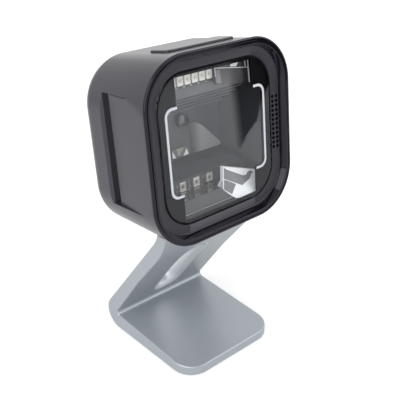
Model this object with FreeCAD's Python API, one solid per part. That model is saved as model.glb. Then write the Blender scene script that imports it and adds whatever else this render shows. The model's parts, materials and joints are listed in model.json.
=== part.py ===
import FreeCAD, Part
import math
import os

os.makedirs("parts", exist_ok=True)
Vector = FreeCAD.Vector

# The scanner stands on its base pad: X is width, the window looks towards -Y, Z is up.
# Head pieces are drawn in the head's own frame (x width, y depth from the rim's front, z up),
# then turned by head_tilt and set on the tilt pin.

# Stand
stand_width = 66.5
crease_y = 28.7
base_reach = 66.7
base_top_rear = 10.0
base_top_front = 6.2
base_corner_radius = 12.6
pad_proud = 0.5
front_face_angle = 54.0
front_face_length = 40.0
upper_face_angle = 51.0
rear_face_angle = 52.0
arm_thickness = 8.9
bend_radius = 10.0
crease_radius = 2.2
arm_blend_radius = 120.0
neck_front_radius = 43.0
neck_rear_radius = 20.0
stand_edge_radius = 1.0
neck_thickness = 7.4
neck_side_gap = 1.0
slot_width = 14.6
slot_start = 9.5
slot_length = 52.0
slot_lead_in = 3.0
slot_round = 3.4

# Weight and pad under the base
ballast_length = 44.0
ballast_width = 50.0
ballast_thickness = 2.8
ballast_front_inset = 12.0
ballast_corner_radius = 4.0
ballast_gap = 0.25
ballast_screw_spacing_x = 38.0
ballast_screw_spacing_y = 32.0
ballast_screw_sink = 0.1
ballast_thread = 1.4
pad_thickness = 1.2
pad_inset = 3.0
pad_length = 58.0
pad_corner_radius = 9.6
pad_rear_radius = 1.5
pad_gap = 0.15

# Tilt hinge
pivot_y = -17.9
pivot_z = 85.7
pivot_depth = 15.3
pin_above_rim = 6.5
head_tilt = 6.14
tilt_travel = 12.0
barrel_margin = 21.5
barrel_radius = 3.7
shoulder_drop = 4.2
pin_radius = 2.0
pin_clearance = 0.04
washer_thickness = 0.5
washer_radius = 3.4
side_play = 0.05
hinge_clearance = 0.6
nape_allowance = 0.5
cradle_wall = 1.2
cradle_shoulder = 7.0
cradle_rear_flange = 6.0
cradle_flange_height = 5.0
pin_end_margin = 4.5
retainer_length = 2.0
cradle_screw_offset = 2.4
cradle_screw_inset = 2.0
cradle_screw_inner_x = 9.0
cradle_screw_sink = 1.2
cradle_screw_length = 3.6
shoulder_swing = 1.9

# Head shell
head_size = 95.0
head_corner_radius = 25.0
seam_depth = 1.2
shell_step = 0.5
shell_wall = 2.0
head_depth = 55.0
rear_narrowing = 0.8
rear_top_drop = 4.0
rear_bottom_rise = 2.0
rear_edge_radius = 9.0
rear_inner_radius = 7.0

# Grip recess on each side of the head
recess_front = 3.0
recess_length = 28.0
recess_sink = 2.8
groove_sink = 1.6
groove_lead = 0.8
groove_width = 2.6
groove_run_out = 3.0
recess_top_margin = 17.5
recess_bottom_margin = 19.5
recess_backing = 1.8
recess_backing_front = 12.0
recess_backing_margin = 2.5

# Front bezel
lip_width = 3.4
lip_radius = 0.7
dish_margin = 4.9
dish_depth = 4.0
band_margin = 9.6
band_slope = 0.6
rim_groove_margin = 1.3
rim_groove_width = 0.35
rim_groove_depth = 0.35
tongue_gap = 0.15
tongue_length = 7.4
tongue_cover = 0.6
ledge_thickness = 1.4
ledge_width_x = 2.7
ledge_width_z = 0.9
ledge_corner_radius = 14.0
sound_hole_radius = 0.75
sound_hole_pitch = 2.5
sound_hole_rows = 12
sound_hole_margin = 8.4
sound_hole_spacing = 2.6
sound_room_border = 0.15
band_thickness = 1.5

# Window stack
window_margin_x = 10.0
window_margin_z = 9.5
window_corner_radius = 17.0
window_depth = 4.4
window_thickness = 1.0
window_chamfer = 0.25
window_gap = 0.15
mask_thickness = 0.2
aperture_border_x = 12.65
aperture_border_z = 2.25
aperture_corner_radius = 0.6
mark_border_x = 5.15
mark_border_z = 16.0
mark_width = 1.35
mark_thickness = 0.15
mark_corner_radius = 4.0
mark_end_gap = 0.4
gasket_thickness = 0.4

# Optical chassis and what it carries
flange_thickness = 1.4
flange_gap = 0.4
funnel_border_x = 4.5
funnel_taper = 6.5
funnel_wall = 1.4
funnel_floor_border = 3.5
funnel_top_border = 2.5
floor_wall = 0.7
lower_board_depth = 20.0
lower_board_rise = 6.8
lower_board_height = 5.7
funnel_back_bottom = -14.4
funnel_back_top = 11.2
upper_board_depth = 11.6
upper_board_height = 10.7
ceiling_steps = 5
ceiling_tread = 0.6
board_thickness = 1.2
board_seat = 1.0
lower_board_half_x = 19.0
upper_board_left = -27.0
upper_board_right = 4.4
led_width = 3.7
lower_led_width = 4.0
led_height = 4.9
led_thickness = 0.9
led_dome_radius = 0.7
led_dome_rise = 0.3
led_well_depth = 0.35
led_well_front = 0.42
led_well_back = 0.34
upper_led_count = 6
upper_led_pitch = 4.67
upper_led_last_x = 1.6
upper_led_drop = 3.2
lower_led_count = 3
lower_led_pitch = 9.3
lower_led_last_x = 4.65
lower_led_rise = 3.4
post_margin_x = 13.2
post_margin_z = 23.5
post_radius = 3.0
boss_radius = 4.4
boss_length = 2.5
chassis_screw_margin = 7.3
chassis_screw_z = 21.5
chassis_pilot_front = 5.4
chassis_screw_length = 3.4

# Camera
camera_z = 5.8
lens_barrel_radius = 4.2
lens_radius = 3.2
lens_ring = 0.8
lens_seat = 2.0
lens_inset = 0.5
lens_curve_radius = 6.0
lens_proud = 2.0
lens_column = 7.0
lens_holder_size = 14.0
camera_board_half_x = 13.0
camera_board_bottom = -3.6
camera_board_top = 15.4
camera_screw_x = 10.2
camera_post_radius = 2.1
camera_screw_length = 4.8
sensor_half = 3.2
sensor_thickness = 0.9
sensor_gap = 0.3
camera_fit = 0.1
connector_height = 4.8
connector_half_x = 6.0
connector_margin = 0.6
connector_width = 3.6

# Main board, sound and socket
rear_room = 9.0
main_board_thickness = 1.6
main_board_margin_x = 19.5
main_board_margin_bottom = 17.5
main_board_margin_top = 16.5
main_board_screw_inset_x = 4.0
main_board_screw_inset_z = 4.5
main_post_radius = 2.3
main_screw_length = 5.6
screw_tip_gap = 0.2
chip_sizes = [
    (0.0, 4.0, 12.0, 12.0, 1.2),
    (13.5, 5.0, 9.0, 10.0, 1.0),
    (-14.0, 3.0, 8.0, 8.0, 1.0),
    (-8.0, -16.0, 8.0, 8.0, 2.0),
    (6.5, -15.0, 5.0, 6.0, 1.6),
]
speaker_offset = 1.5
speaker_half_width = 2.8
speaker_half_height = 14.0
speaker_wall = 0.6
speaker_gap = 0.6
speaker_depth = 5.0
speaker_back = 0.8
cone_thickness = 0.3
magnet_border_x = 1.2
magnet_border_z = 5.0
mesh_thickness = 0.2
mesh_border = 0.2
socket_half_width = 7.8
socket_height = 17.5
socket_length = 14.0
socket_mouth_half_width = 5.95
socket_mouth_wall = 3.6
socket_mouth_depth = 6.9
socket_mouth_height = 13.0
socket_latch_half_width = 3.2
socket_latch_depth = 1.7
socket_latch_height = 8.0
socket_recess = 0.6
socket_gap = 0.2
contact_count = 10
contact_pitch = 1.02
contact_half_width = 0.2
contact_thickness = 0.7
contact_start = 4.0

# Plated reflectors, outlined by (x, z) corners from the funnel's right side and its ceiling or floor
reflector_rim_share = 0.93
reflector_wall = 0.8
upper_reflector_corners = [(-28.2, -9.3), (-6.4, -12.1), (-6.1, -0.2), (-28.2, -0.2)]
upper_reflector_front = 8.4
upper_reflector_slope = 0.08
upper_reflector_depth = 2.0
upper_reflector_floor = 0.8
lower_reflector_corners = [(-29.6, 6.7), (-21.4, -1.5), (-7.6, -1.5), (-3.8, 8.9), (-23.9, 14.6)]
lower_reflector_front = 6.7
lower_reflector_slope = 0.45
lower_reflector_depth = 2.4
lower_reflector_floor = 0.6

# Clear block under the camera
prism_left = -9.8
prism_right = 2.0
prism_slant = 3.4
prism_height = 4.6
prism_thickness = 2.2
prism_gap = 1.5

# Button on top of the head
button_half_x = 22.0
button_front = 12.4
button_length = 14.2
button_corner_radius = 2.5
button_gap = 0.35
button_proud = 1.1
button_travel = 0.5
button_flange = 1.4
button_edge_radius = 0.5
button_flange_gap = 0.3
button_rest_gap = 0.2
button_flange_reach = 1.0
board_side_gap = 1.0
button_post_offset = 3.6
button_post_radius = 1.9
button_thread = 2.8
button_board_overhang = 2.2
switch_x = 13.0
switch_size = 4.5
switch_height = 2.0
plunger_radius = 1.2
plunger_reach = 0.7
plunger_gap = 0.08

# Fasteners: head radius, head height, shank radius
small_screw = (2.0, 1.3, 0.95)
housing_screw = (2.6, 1.8, 1.25)
housing_screw_sink = 0.6
housing_screw_length = 9.0
thread_clearance = 0.05
shank_gap = 0.15
head_gap = 0.25
recess_share = 0.55
driver_blade = 0.13

# Derived sizes
head_half = head_size / 2
shell_half = head_half - shell_step
shell_corner_radius = head_corner_radius - shell_step
pivot_drop = head_half - pin_above_rim
barrel_half = head_half - barrel_margin
pin_half_length = barrel_half + pin_end_margin
cradle_half_width = barrel_half + cradle_shoulder
cradle_screw_outer_x = barrel_half - cradle_screw_inset
stand_half = stand_width / 2
base_front_y = crease_y - base_reach
dish_half = head_half - dish_margin
band_half = head_half - band_margin
band_depth = dish_depth + band_slope
tongue_end = seam_depth + tongue_length
window_half_x = head_half - window_margin_x
window_half_z = head_half - window_margin_z
mask_front = window_depth + window_thickness
ledge_front = mask_front + mask_thickness + gasket_thickness
ledge_back = ledge_front + ledge_thickness
ledge_half_x = window_half_x - ledge_width_x
ledge_half_z = window_half_z - ledge_width_z
aperture_half_x = window_half_x - aperture_border_x
aperture_half_z = window_half_z - aperture_border_z
mark_half_x = window_half_x - mark_border_x
mark_half_z = window_half_z - mark_border_z
flange_back = ledge_back + flange_thickness
funnel_half_x = window_half_x - funnel_border_x
funnel_rear_half_x = funnel_half_x - funnel_taper
funnel_floor_z = funnel_floor_border - window_half_z
funnel_top_z = window_half_z - funnel_top_border
lower_board_bottom = funnel_floor_z + lower_board_rise
lower_board_top = lower_board_bottom + lower_board_height
lower_led_z = lower_board_bottom + lower_led_rise
upper_board_bottom = funnel_top_z - upper_board_height
upper_led_z = funnel_top_z - upper_led_drop
shell_axis_end = head_depth - shell_wall
main_board_depth = head_depth - rear_room
camera_board_depth = main_board_depth - connector_height - board_thickness
funnel_back_depth = camera_board_depth - lens_column
lens_front_depth = funnel_back_depth - lens_proud
main_board_half_x = head_half - main_board_margin_x
main_board_bottom = main_board_margin_bottom - head_half
main_board_top = head_half - main_board_margin_top
post_x = head_half - post_margin_x
post_z = head_half - post_margin_z
chassis_screw_x = head_half - chassis_screw_margin
sound_hole_inner_x = head_half - sound_hole_margin
sound_half_z = sound_hole_rows * sound_hole_pitch / 2
speaker_x = sound_hole_inner_x - speaker_offset
speaker_front = flange_back + speaker_gap
recess_rear = recess_front + recess_length
recess_floor = shell_half - recess_sink
groove_floor = recess_floor - groove_sink
groove_front = recess_rear + groove_lead
groove_rear = groove_front + groove_width
recess_step_end = groove_rear + groove_run_out
recess_top = shell_half - recess_top_margin
recess_bottom = recess_bottom_margin - shell_half
pocket_radius = barrel_radius + hinge_clearance
socket_front = main_board_depth - socket_length
socket_mouth_front = socket_front + socket_mouth_wall
button_rear = button_front + button_length
button_mid = (button_front + button_rear) / 2
button_post_x = button_half_x + button_post_offset
button_board_half_x = button_post_x + button_board_overhang


def save(node, shape):
    shape.exportStep("parts/" + node + ".step")
    print(node, len(shape.Solids), round(shape.Volume, 1), shape.isValid())


def group(solids):
    return Part.makeCompound(solids)


def box(x0, x1, y0, y1, z0, z1):
    return Part.makeBox(x1 - x0, y1 - y0, z1 - z0, Vector(x0, y0, z0))


def rod(radius, start, end):
    axis = Vector(*end) - Vector(*start)
    return Part.makeCylinder(radius, axis.Length, Vector(*start), axis)


def rounded_path(points, radii):
    """Closed wire through 3D points, with an arc of the given radius at each corner."""
    count = len(points)
    starts = []
    ends = []
    middles = []
    for i in range(count):
        corner = points[i]
        back = (points[i - 1] - corner).normalize()
        ahead = (points[(i + 1) % count] - corner).normalize()
        half_angle = back.getAngle(ahead) / 2
        reach = radii[i] / math.tan(half_angle)
        starts.append(corner + back * reach)
        ends.append(corner + ahead * reach)
        bisector = (back + ahead).normalize()
        to_centre = radii[i] / math.sin(half_angle)
        middles.append(corner + bisector * (to_centre - radii[i]))
    edges = []
    for i in range(count):
        if radii[i] > 0:
            edges.append(Part.Arc(starts[i], middles[i], ends[i]).toShape())
        following = starts[(i + 1) % count]
        if (following - ends[i]).Length > 1e-6:
            edges.append(Part.LineSegment(ends[i], following).toShape())
    return Part.Wire(edges)


def side_prism(outline, x0, x1, radii=None):
    """Prism across the width from a (y, z) outline."""
    points = [Vector(x0, y, z) for y, z in outline]
    wire = rounded_path(points, radii or [0] * len(points))
    return Part.Face(wire).extrude(Vector(x1 - x0, 0, 0))


def plan_prism(outline, z0, z1, radii=None):
    """Prism upwards from an (x, y) outline."""
    points = [Vector(x, y, z0) for x, y in outline]
    wire = rounded_path(points, radii or [0] * len(points))
    return Part.Face(wire).extrude(Vector(0, 0, z1 - z0))


def front_prism(outline, y0, y1, radii=None):
    """Prism along the depth from an (x, z) outline."""
    points = [Vector(x, y0, z) for x, z in outline]
    wire = rounded_path(points, radii or [0] * len(points))
    return Part.Face(wire).extrude(Vector(0, y1 - y0, 0))


def frame_wire(half_x, half_z, radius, depth, middle_z=0):
    top = middle_z + half_z
    bottom = middle_z - half_z
    corners = [(-half_x, bottom), (half_x, bottom), (half_x, top), (-half_x, top)]
    points = [Vector(x, depth, z) for x, z in corners]
    return rounded_path(points, [radius] * 4)


def slab(half_x, half_z, radius, y0, y1, middle_z=0):
    wire = frame_wire(half_x, half_z, radius, y0, middle_z)
    return Part.Face(wire).extrude(Vector(0, y1 - y0, 0))


def head_square(inset, y0, y1):
    """Rounded square that runs parallel to the rim's outline, the given distance inside it."""
    half = head_half - inset
    return slab(half, half, head_corner_radius - inset, y0, y1)


def head_funnel(inset0, y0, inset1, y1):
    half0 = head_half - inset0
    half1 = head_half - inset1
    front = frame_wire(half0, half0, head_corner_radius - inset0, y0)
    rear = frame_wire(half1, half1, head_corner_radius - inset1, y1)
    return Part.makeLoft([front, rear], True, True)


def in_head(shape):
    """Set a shape drawn in the head's frame onto the tilt pin."""
    placed = shape.copy()
    placed.translate(Vector(0, -pivot_depth, pivot_drop))
    placed.rotate(Vector(0, 0, 0), Vector(1, 0, 0), -head_tilt)
    placed.translate(Vector(0, pivot_y, pivot_z))
    return placed


def screw(sizes, seat, direction, length):
    """Pan-head screw: the head's underside is at seat, the shank runs along direction."""
    head_radius, head_height, shank_radius = sizes
    axis = Vector(*direction).normalize()
    base = Vector(*seat)
    head = Part.makeCylinder(head_radius, head_height, base, axis * -1)
    shank = Part.makeCylinder(shank_radius, length, base, axis)
    depth = head_height * recess_share
    reach = head_radius * recess_share
    blade = head_radius * driver_blade
    cross = Part.makeBox(2 * reach, 2 * blade, depth, Vector(-reach, -blade, 0))
    other = cross.copy()
    other.rotate(Vector(0, 0, 0), Vector(0, 0, 1), 90)
    cross = cross.fuse(other)
    cross.translate(Vector(0, 0, -head_height))
    cross.Placement = FreeCAD.Placement(base, FreeCAD.Rotation(Vector(0, 0, 1), axis)).multiply(cross.Placement)
    return head.fuse(shank).cut(cross)


def shell_top(depth):
    share = (depth - seam_depth) / (head_depth - seam_depth)
    return shell_half - rear_top_drop * share


def shell_bottom(depth):
    share = (depth - seam_depth) / (head_depth - seam_depth)
    return -shell_half + rear_bottom_rise * share


# ---- Stand

def direction(angle):
    """Unit step forwards and up at the given angle from level."""
    return -math.cos(math.radians(angle)), math.sin(math.radians(angle))


def stand_outline():
    """Side outline of the stand, anticlockwise from the base's front, with corner radii."""
    front = direction(front_face_angle)
    upper = direction(upper_face_angle)
    rear = direction(rear_face_angle)
    crease = (crease_y, base_top_rear)
    knee = (crease[0] + front[0] * front_face_length, crease[1] + front[1] * front_face_length)
    neck_front = pivot_y - neck_thickness / 2
    neck_rear = pivot_y + neck_thickness / 2
    throat_z = knee[1] + (neck_front - knee[0]) * upper[1] / upper[0]
    rear_start = (crease[0] + front[1] * arm_thickness, crease[1] - front[0] * arm_thickness)
    nape_z = rear_start[1] + (neck_rear - rear_start[0]) * rear[1] / rear[0]
    heel_y = rear_start[0] + (pad_proud - rear_start[1]) * rear[0] / rear[1]
    points = [
        (base_front_y, pad_proud),
        (heel_y, pad_proud),
        (neck_rear, nape_z),
        (neck_rear, pivot_z),
        (neck_front, pivot_z),
        (neck_front, throat_z),
        knee,
        crease,
        (base_front_y, base_top_front),
    ]
    radii = [
        0,
        bend_radius,
        neck_rear_radius,
        0,
        0,
        neck_front_radius,
        arm_blend_radius,
        crease_radius,
        0,
    ]
    return points, radii


def stand_profile():
    """The neck's front blend ends above the pivot, so the neck is drawn long and cut back later."""
    points, radii = stand_outline()
    top = pivot_z + neck_front_radius
    points[3] = (points[3][0], top)
    points[4] = (points[4][0], top)
    profile = side_prism(points, -stand_half, stand_half, radii)
    corner_end = base_front_y + base_corner_radius
    rounded = plan_prism(
        [(-stand_half, base_front_y), (stand_half, base_front_y),
         (stand_half, corner_end), (-stand_half, corner_end)],
        -1, base_top_rear, [base_corner_radius, base_corner_radius, 0, 0])
    square = box(-stand_half - 1, stand_half + 1, base_front_y - 1, corner_end, -1, base_top_rear)
    return profile.cut(square.cut(rounded))


def outer_edges(shape):
    """Edges of both sides, of the base's front and of its rounded corners."""
    found = []
    corner_end = base_front_y + base_corner_radius
    for edge in shape.Edges:
        bounds = edge.BoundBox
        on_side = abs(abs(bounds.XMin) - stand_half) < 1e-3 and bounds.XLength < 1e-3
        on_front = abs(bounds.YMin - base_front_y) < 1e-3 and bounds.YLength < 1e-3 and bounds.XLength > 1
        on_corner = bounds.YMax < corner_end + 1e-3 and bounds.XLength > 1 and bounds.YLength > 1
        if on_side or on_front or on_corner:
            found.append(edge)
    return found


def arm_slot():
    """Long rounded slot, cut square to the arm's front face."""
    step = direction(front_face_angle)
    radius = slot_width / 2
    low = slot_start + radius
    high = slot_start + slot_length - radius
    square_out = Vector(0, -step[1], step[0])
    lead_in = square_out * slot_lead_in
    reach = slot_lead_in + 2 * arm_thickness
    solids = []
    for along in (low, high):
        start = Vector(0, crease_y + step[0] * along, base_top_rear + step[1] * along) + lead_in
        solids.append(Part.makeCylinder(radius, reach, start, square_out * -1))
    corner = Vector(-radius, crease_y + step[0] * low, base_top_rear + step[1] * low) + lead_in
    across = Vector(slot_width, 0, 0)
    along_arm = Vector(0, step[0] * (high - low), step[1] * (high - low))
    points = [corner, corner + across, corner + across + along_arm, corner + along_arm]
    middle = Part.Face(rounded_path(points, [0] * 4)).extrude(square_out * -reach)
    return solids[0].fuse([solids[1], middle]).removeSplitter()


def slot_mouth_edges(shape):
    """Edges around both mouths of the slot, without the seams along its walls."""
    step = direction(front_face_angle)
    through = Vector(0, -step[1], step[0])
    found = []
    for edge in shape.Edges:
        bounds = edge.BoundBox
        in_slot = max(-bounds.XMin, bounds.XMax) < slot_width / 2 + 1e-3
        middle = (edge.FirstParameter + edge.LastParameter) / 2
        if in_slot and abs(edge.tangentAt(middle).dot(through)) < 0.9:
            found.append(edge)
    return found


def ballast_centre_y():
    return base_front_y + ballast_front_inset + ballast_length / 2


def ballast_outline(gap):
    half_x = ballast_width / 2 + gap
    front = base_front_y + ballast_front_inset - gap
    rear = front + ballast_length + 2 * gap
    return [(-half_x, front), (half_x, front), (half_x, rear), (-half_x, rear)]


def ballast_screw_places():
    places = []
    for x in (-ballast_screw_spacing_x / 2, ballast_screw_spacing_x / 2):
        for y in (-ballast_screw_spacing_y / 2, ballast_screw_spacing_y / 2):
            places.append((x, ballast_centre_y() + y))
    return places


def pad_outline(gap):
    half_x = stand_half - pad_inset + gap
    front = base_front_y + pad_inset - gap
    rear = front + pad_length + 2 * gap
    return [(-half_x, front), (half_x, front), (half_x, rear), (-half_x, rear)]


def pad_radii():
    return [pad_corner_radius, pad_corner_radius, pad_rear_radius, pad_rear_radius]


def stand_body():
    profile = stand_profile()
    body = profile.makeFillet(stand_edge_radius, outer_edges(profile)).cut(arm_slot())
    body = body.makeFillet(slot_round, slot_mouth_edges(body))
    shoulder_z = pivot_z - shoulder_drop
    above = box(-stand_half - 1, stand_half + 1, pivot_y - 20, pivot_y + 20, shoulder_z, pivot_z + 90)
    body = body.cut(above)
    tongue = box(-barrel_half, barrel_half, pivot_y - barrel_radius, pivot_y + barrel_radius,
                 shoulder_z - 3, pivot_z)
    barrel = rod(barrel_radius, (-barrel_half, pivot_y, pivot_z), (barrel_half, pivot_y, pivot_z))
    body = body.fuse([tongue, barrel]).removeSplitter()
    pad_pocket = plan_prism(pad_outline(pad_gap), -1, pad_thickness, pad_radii())
    ballast_pocket = plan_prism(ballast_outline(ballast_gap), -1, pad_thickness + ballast_thickness,
                                [ballast_corner_radius] * 4)
    bore = rod(pin_radius + pin_clearance, (-stand_half, pivot_y, pivot_z), (stand_half, pivot_y, pivot_z))
    body = body.cut(pad_pocket).cut(ballast_pocket).cut(bore)
    shank_radius = small_screw[2] + thread_clearance
    roof = pad_thickness + ballast_thickness
    for x, y in ballast_screw_places():
        body = body.cut(rod(shank_radius, (x, y, roof - 1), (x, y, roof + ballast_thread + screw_tip_gap)))
    return body


def ballast_plate():
    bottom = pad_thickness
    plate = plan_prism(ballast_outline(0), bottom, bottom + ballast_thickness, [ballast_corner_radius] * 4)
    for x, y in ballast_screw_places():
        plate = plate.cut(rod(small_screw[2] + shank_gap, (x, y, 0), (x, y, 9)))
        plate = plate.cut(rod(small_screw[0] + head_gap, (x, y, 0), (x, y, bottom + small_screw[1] + ballast_screw_sink)))
    return plate


def ballast_screws():
    seat = pad_thickness + small_screw[1] + ballast_screw_sink
    length = pad_thickness + ballast_thickness + ballast_thread - seat
    return group([screw(small_screw, (x, y, seat), (0, 0, 1), length) for x, y in ballast_screw_places()])


def base_pad():
    return plan_prism(pad_outline(0), 0, pad_thickness, pad_radii())


# ---- Tilt hinge, in the head's frame

def pocket_span():
    """Front and rear of the slot that the neck swings in."""
    reach = shell_half - pivot_drop
    front_swing = reach * math.tan(math.radians(tilt_travel - head_tilt))
    rear_swing = reach * math.tan(math.radians(tilt_travel + head_tilt))
    front = pivot_depth - pocket_radius - front_swing
    rear = pivot_depth + pocket_radius + rear_swing + hinge_clearance + nape_allowance
    return front, rear


def hinge_cradle():
    front, rear = pocket_span()
    top = -pivot_drop + pocket_radius + cradle_wall
    block = box(-cradle_half_width, cradle_half_width, front - cradle_wall, rear + cradle_wall,
                -head_half, top)
    foot = box(-cradle_half_width, cradle_half_width, rear, rear + cradle_rear_flange,
               -head_half, -head_half + shell_wall + shell_step + cradle_flange_height)
    cradle = block.fuse(foot).common(shell_cavity())
    room = barrel_half + washer_thickness + 2 * side_play
    cradle = cradle.cut(box(-room, room, front, rear, -60, -pivot_drop + pocket_radius))
    sweep_top = -pivot_drop - shoulder_drop + shoulder_swing
    cradle = cradle.cut(box(-60, 60, front - 5, rear, -60, sweep_top))
    cradle = cradle.cut(rod(pin_radius, (-pin_half_length, pivot_depth, -pivot_drop),
                            (60, pivot_depth, -pivot_drop)))
    for x, y in cradle_screw_places():
        cradle = cradle.cut(rod(small_screw[2] + thread_clearance, (x, y, -60),
                                (x, y, cradle_screw_seat(y) + cradle_screw_length + screw_tip_gap)))
    return cradle


def tilt_pin():
    return rod(pin_radius, (-pin_half_length, pivot_depth, -pivot_drop),
               (pin_half_length, pivot_depth, -pivot_drop))


def pin_retainer():
    end = pin_half_length + retainer_length
    return rod(pin_radius, (pin_half_length, pivot_depth, -pivot_drop), (end, pivot_depth, -pivot_drop))


def friction_washers():
    rings = []
    for side in (-1, 1):
        inner = side * (barrel_half + side_play)
        outer = inner + side * washer_thickness
        disc = rod(washer_radius, (inner, pivot_depth, -pivot_drop), (outer, pivot_depth, -pivot_drop))
        rings.append(disc.cut(rod(pin_radius + pin_clearance, (-60, pivot_depth, -pivot_drop),
                                  (60, pivot_depth, -pivot_drop))))
    return group(rings)


def cradle_screw_places():
    y = pocket_span()[1] + cradle_wall + cradle_screw_offset
    spots = (-cradle_screw_outer_x, -cradle_screw_inner_x, cradle_screw_inner_x, cradle_screw_outer_x)
    return [(x, y) for x in spots]


def cradle_screw_seat(depth):
    return shell_bottom(depth) + cradle_screw_sink


def cradle_screws():
    solids = []
    for x, y in cradle_screw_places():
        solids.append(screw(small_screw, (x, y, cradle_screw_seat(y)), (0, 0, 1), cradle_screw_length))
    return group(solids)


# ---- Head shell

def shell_wires(inset):
    """Front and rear outlines of the shell, moved in by inset."""
    front = frame_wire(shell_half - inset, shell_half - inset, shell_corner_radius - inset, seam_depth)
    rear_half_x = shell_half - rear_narrowing - inset
    rear_half_z = shell_half - (rear_top_drop + rear_bottom_rise) / 2 - inset
    rear_middle = (rear_bottom_rise - rear_top_drop) / 2
    rear = frame_wire(rear_half_x, rear_half_z, shell_corner_radius - inset, head_depth, rear_middle)
    return front, rear


def rear_edges(shape, depth):
    return [edge for edge in shape.Edges
            if abs(edge.BoundBox.YMin - depth) < 1e-3 and abs(edge.BoundBox.YMax - depth) < 1e-3]


def shell_outside():
    outside = Part.makeLoft(list(shell_wires(0)), True, True)
    return outside.makeFillet(rear_edge_radius, rear_edges(outside, head_depth))


def shell_cavity():
    """Space inside the shell, open to the front."""
    cavity = Part.makeLoft(list(shell_wires(shell_wall)), True, True)
    cavity = cavity.cut(box(-60, 60, shell_axis_end, head_depth + 1, -60, 60))
    cavity = cavity.makeFillet(rear_inner_radius, rear_edges(cavity, shell_axis_end))
    inner = groove_floor - recess_backing
    for side in (-1, 1):
        near = side * inner
        far = side * head_half
        backing = box(min(near, far), max(near, far), recess_backing_front,
                      recess_step_end + recess_backing,
                      recess_bottom - recess_backing_margin, recess_top + recess_backing_margin)
        cavity = cavity.cut(backing)
    return cavity


def grip_recess(side):
    outside = head_half + shell_step
    outline = [
        (side * shell_half, recess_front),
        (side * recess_floor, recess_rear),
        (side * recess_floor, groove_front),
        (side * groove_floor, groove_front),
        (side * groove_floor, groove_rear),
        (side * (shell_half - rear_narrowing / 2), recess_step_end),
        (side * outside, recess_step_end),
        (side * outside, recess_front),
    ]
    return plan_prism(outline, recess_bottom, recess_top)


def housing_screw_places():
    return [(x, z) for x in (-post_x, post_x) for z in (-post_z, post_z)]


def main_board_screw_places():
    half_x = main_board_half_x - main_board_screw_inset_x
    low = main_board_bottom + main_board_screw_inset_z
    high = main_board_top - main_board_screw_inset_z
    return [(x, z) for x in (-half_x, half_x) for z in (low, high)]


def button_prism(grow, bottom, lift):
    """Bar under a roof that follows the shell's sloping top, lifted by the given height."""
    half_x = button_half_x + grow
    front = button_front - grow
    rear = button_rear + grow
    radius = button_corner_radius + grow
    bar = plan_prism([(-half_x, front), (half_x, front), (half_x, rear), (-half_x, rear)],
                     bottom, 60, [radius] * 4)
    roof = side_prism([(0, shell_top(0) + lift), (70, shell_top(70) + lift), (70, 90), (0, 90)], -60, 60)
    return bar.cut(roof)


def rear_housing():
    housing = shell_outside().cut(shell_cavity())
    for side in (-1, 1):
        housing = housing.cut(grip_recess(side))
    for x, z in housing_screw_places():
        boss = rod(boss_radius, (x, shell_axis_end - boss_length, z), (x, shell_axis_end + shell_wall / 4, z))
        housing = housing.fuse(boss.common(shell_outside()))
    for x, z in main_board_screw_places():
        board_back = main_board_depth + main_board_thickness
        housing = housing.fuse(rod(main_post_radius, (x, board_back, z), (x, shell_axis_end + shell_wall / 4, z)))
        housing = housing.cut(rod(small_screw[2] + thread_clearance, (x, board_back, z),
                                  (x, board_back + main_screw_length - main_board_thickness + screw_tip_gap, z)))
    for x, z in housing_screw_places():
        housing = housing.cut(rod(housing_screw[2] + shank_gap, (x, main_board_depth, z), (x, head_depth, z)))
        housing = housing.cut(rod(housing_screw[0] + head_gap, (x, housing_screw_seat(), z), (x, head_depth, z)))
    front, rear = pocket_span()
    mouth_half = stand_half + neck_side_gap
    housing = housing.cut(box(-mouth_half, mouth_half, front, rear, -60, -pivot_drop))
    for x, y in cradle_screw_places():
        housing = housing.cut(rod(small_screw[2] + shank_gap, (x, y, -60), (x, y, -40)))
        housing = housing.cut(rod(small_screw[0] + head_gap, (x, y, -60), (x, y, cradle_screw_seat(y))))
    mouth_half_x = socket_half_width + socket_gap
    mouth = box(-mouth_half_x, mouth_half_x, socket_front - socket_gap, main_board_depth + socket_gap,
                -head_size, shell_bottom(0) + 2 * shell_wall + rear_bottom_rise)
    housing = housing.cut(mouth)
    housing = housing.cut(button_prism(button_gap, 30, 10))
    board_top = button_board_top()
    for x, y in button_board_posts():
        post = rod(button_post_radius, (x, y, board_top), (x, y, shell_top(y) - shell_wall / 2))
        housing = housing.fuse(post)
        housing = housing.cut(rod(small_screw[2] + thread_clearance, (x, y, 30), (x, y, board_top + button_thread)))
    return housing


def housing_screw_seat():
    return head_depth - housing_screw[1] - housing_screw_sink


def housing_screws():
    return group([screw(housing_screw, (x, housing_screw_seat(), z), (0, -1, 0), housing_screw_length)
                  for x, z in housing_screw_places()])


# ---- Bezel and window

def sound_hole_places():
    places = []
    for column in range(2):
        for row in range(sound_hole_rows):
            z = (row - (sound_hole_rows - 1) / 2) * sound_hole_pitch
            places.append((sound_hole_inner_x + column * sound_hole_spacing, z))
    return places


def chassis_screw_places():
    return [(x, z) for x in (-chassis_screw_x, chassis_screw_x) for z in (-chassis_screw_z, chassis_screw_z)]


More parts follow.
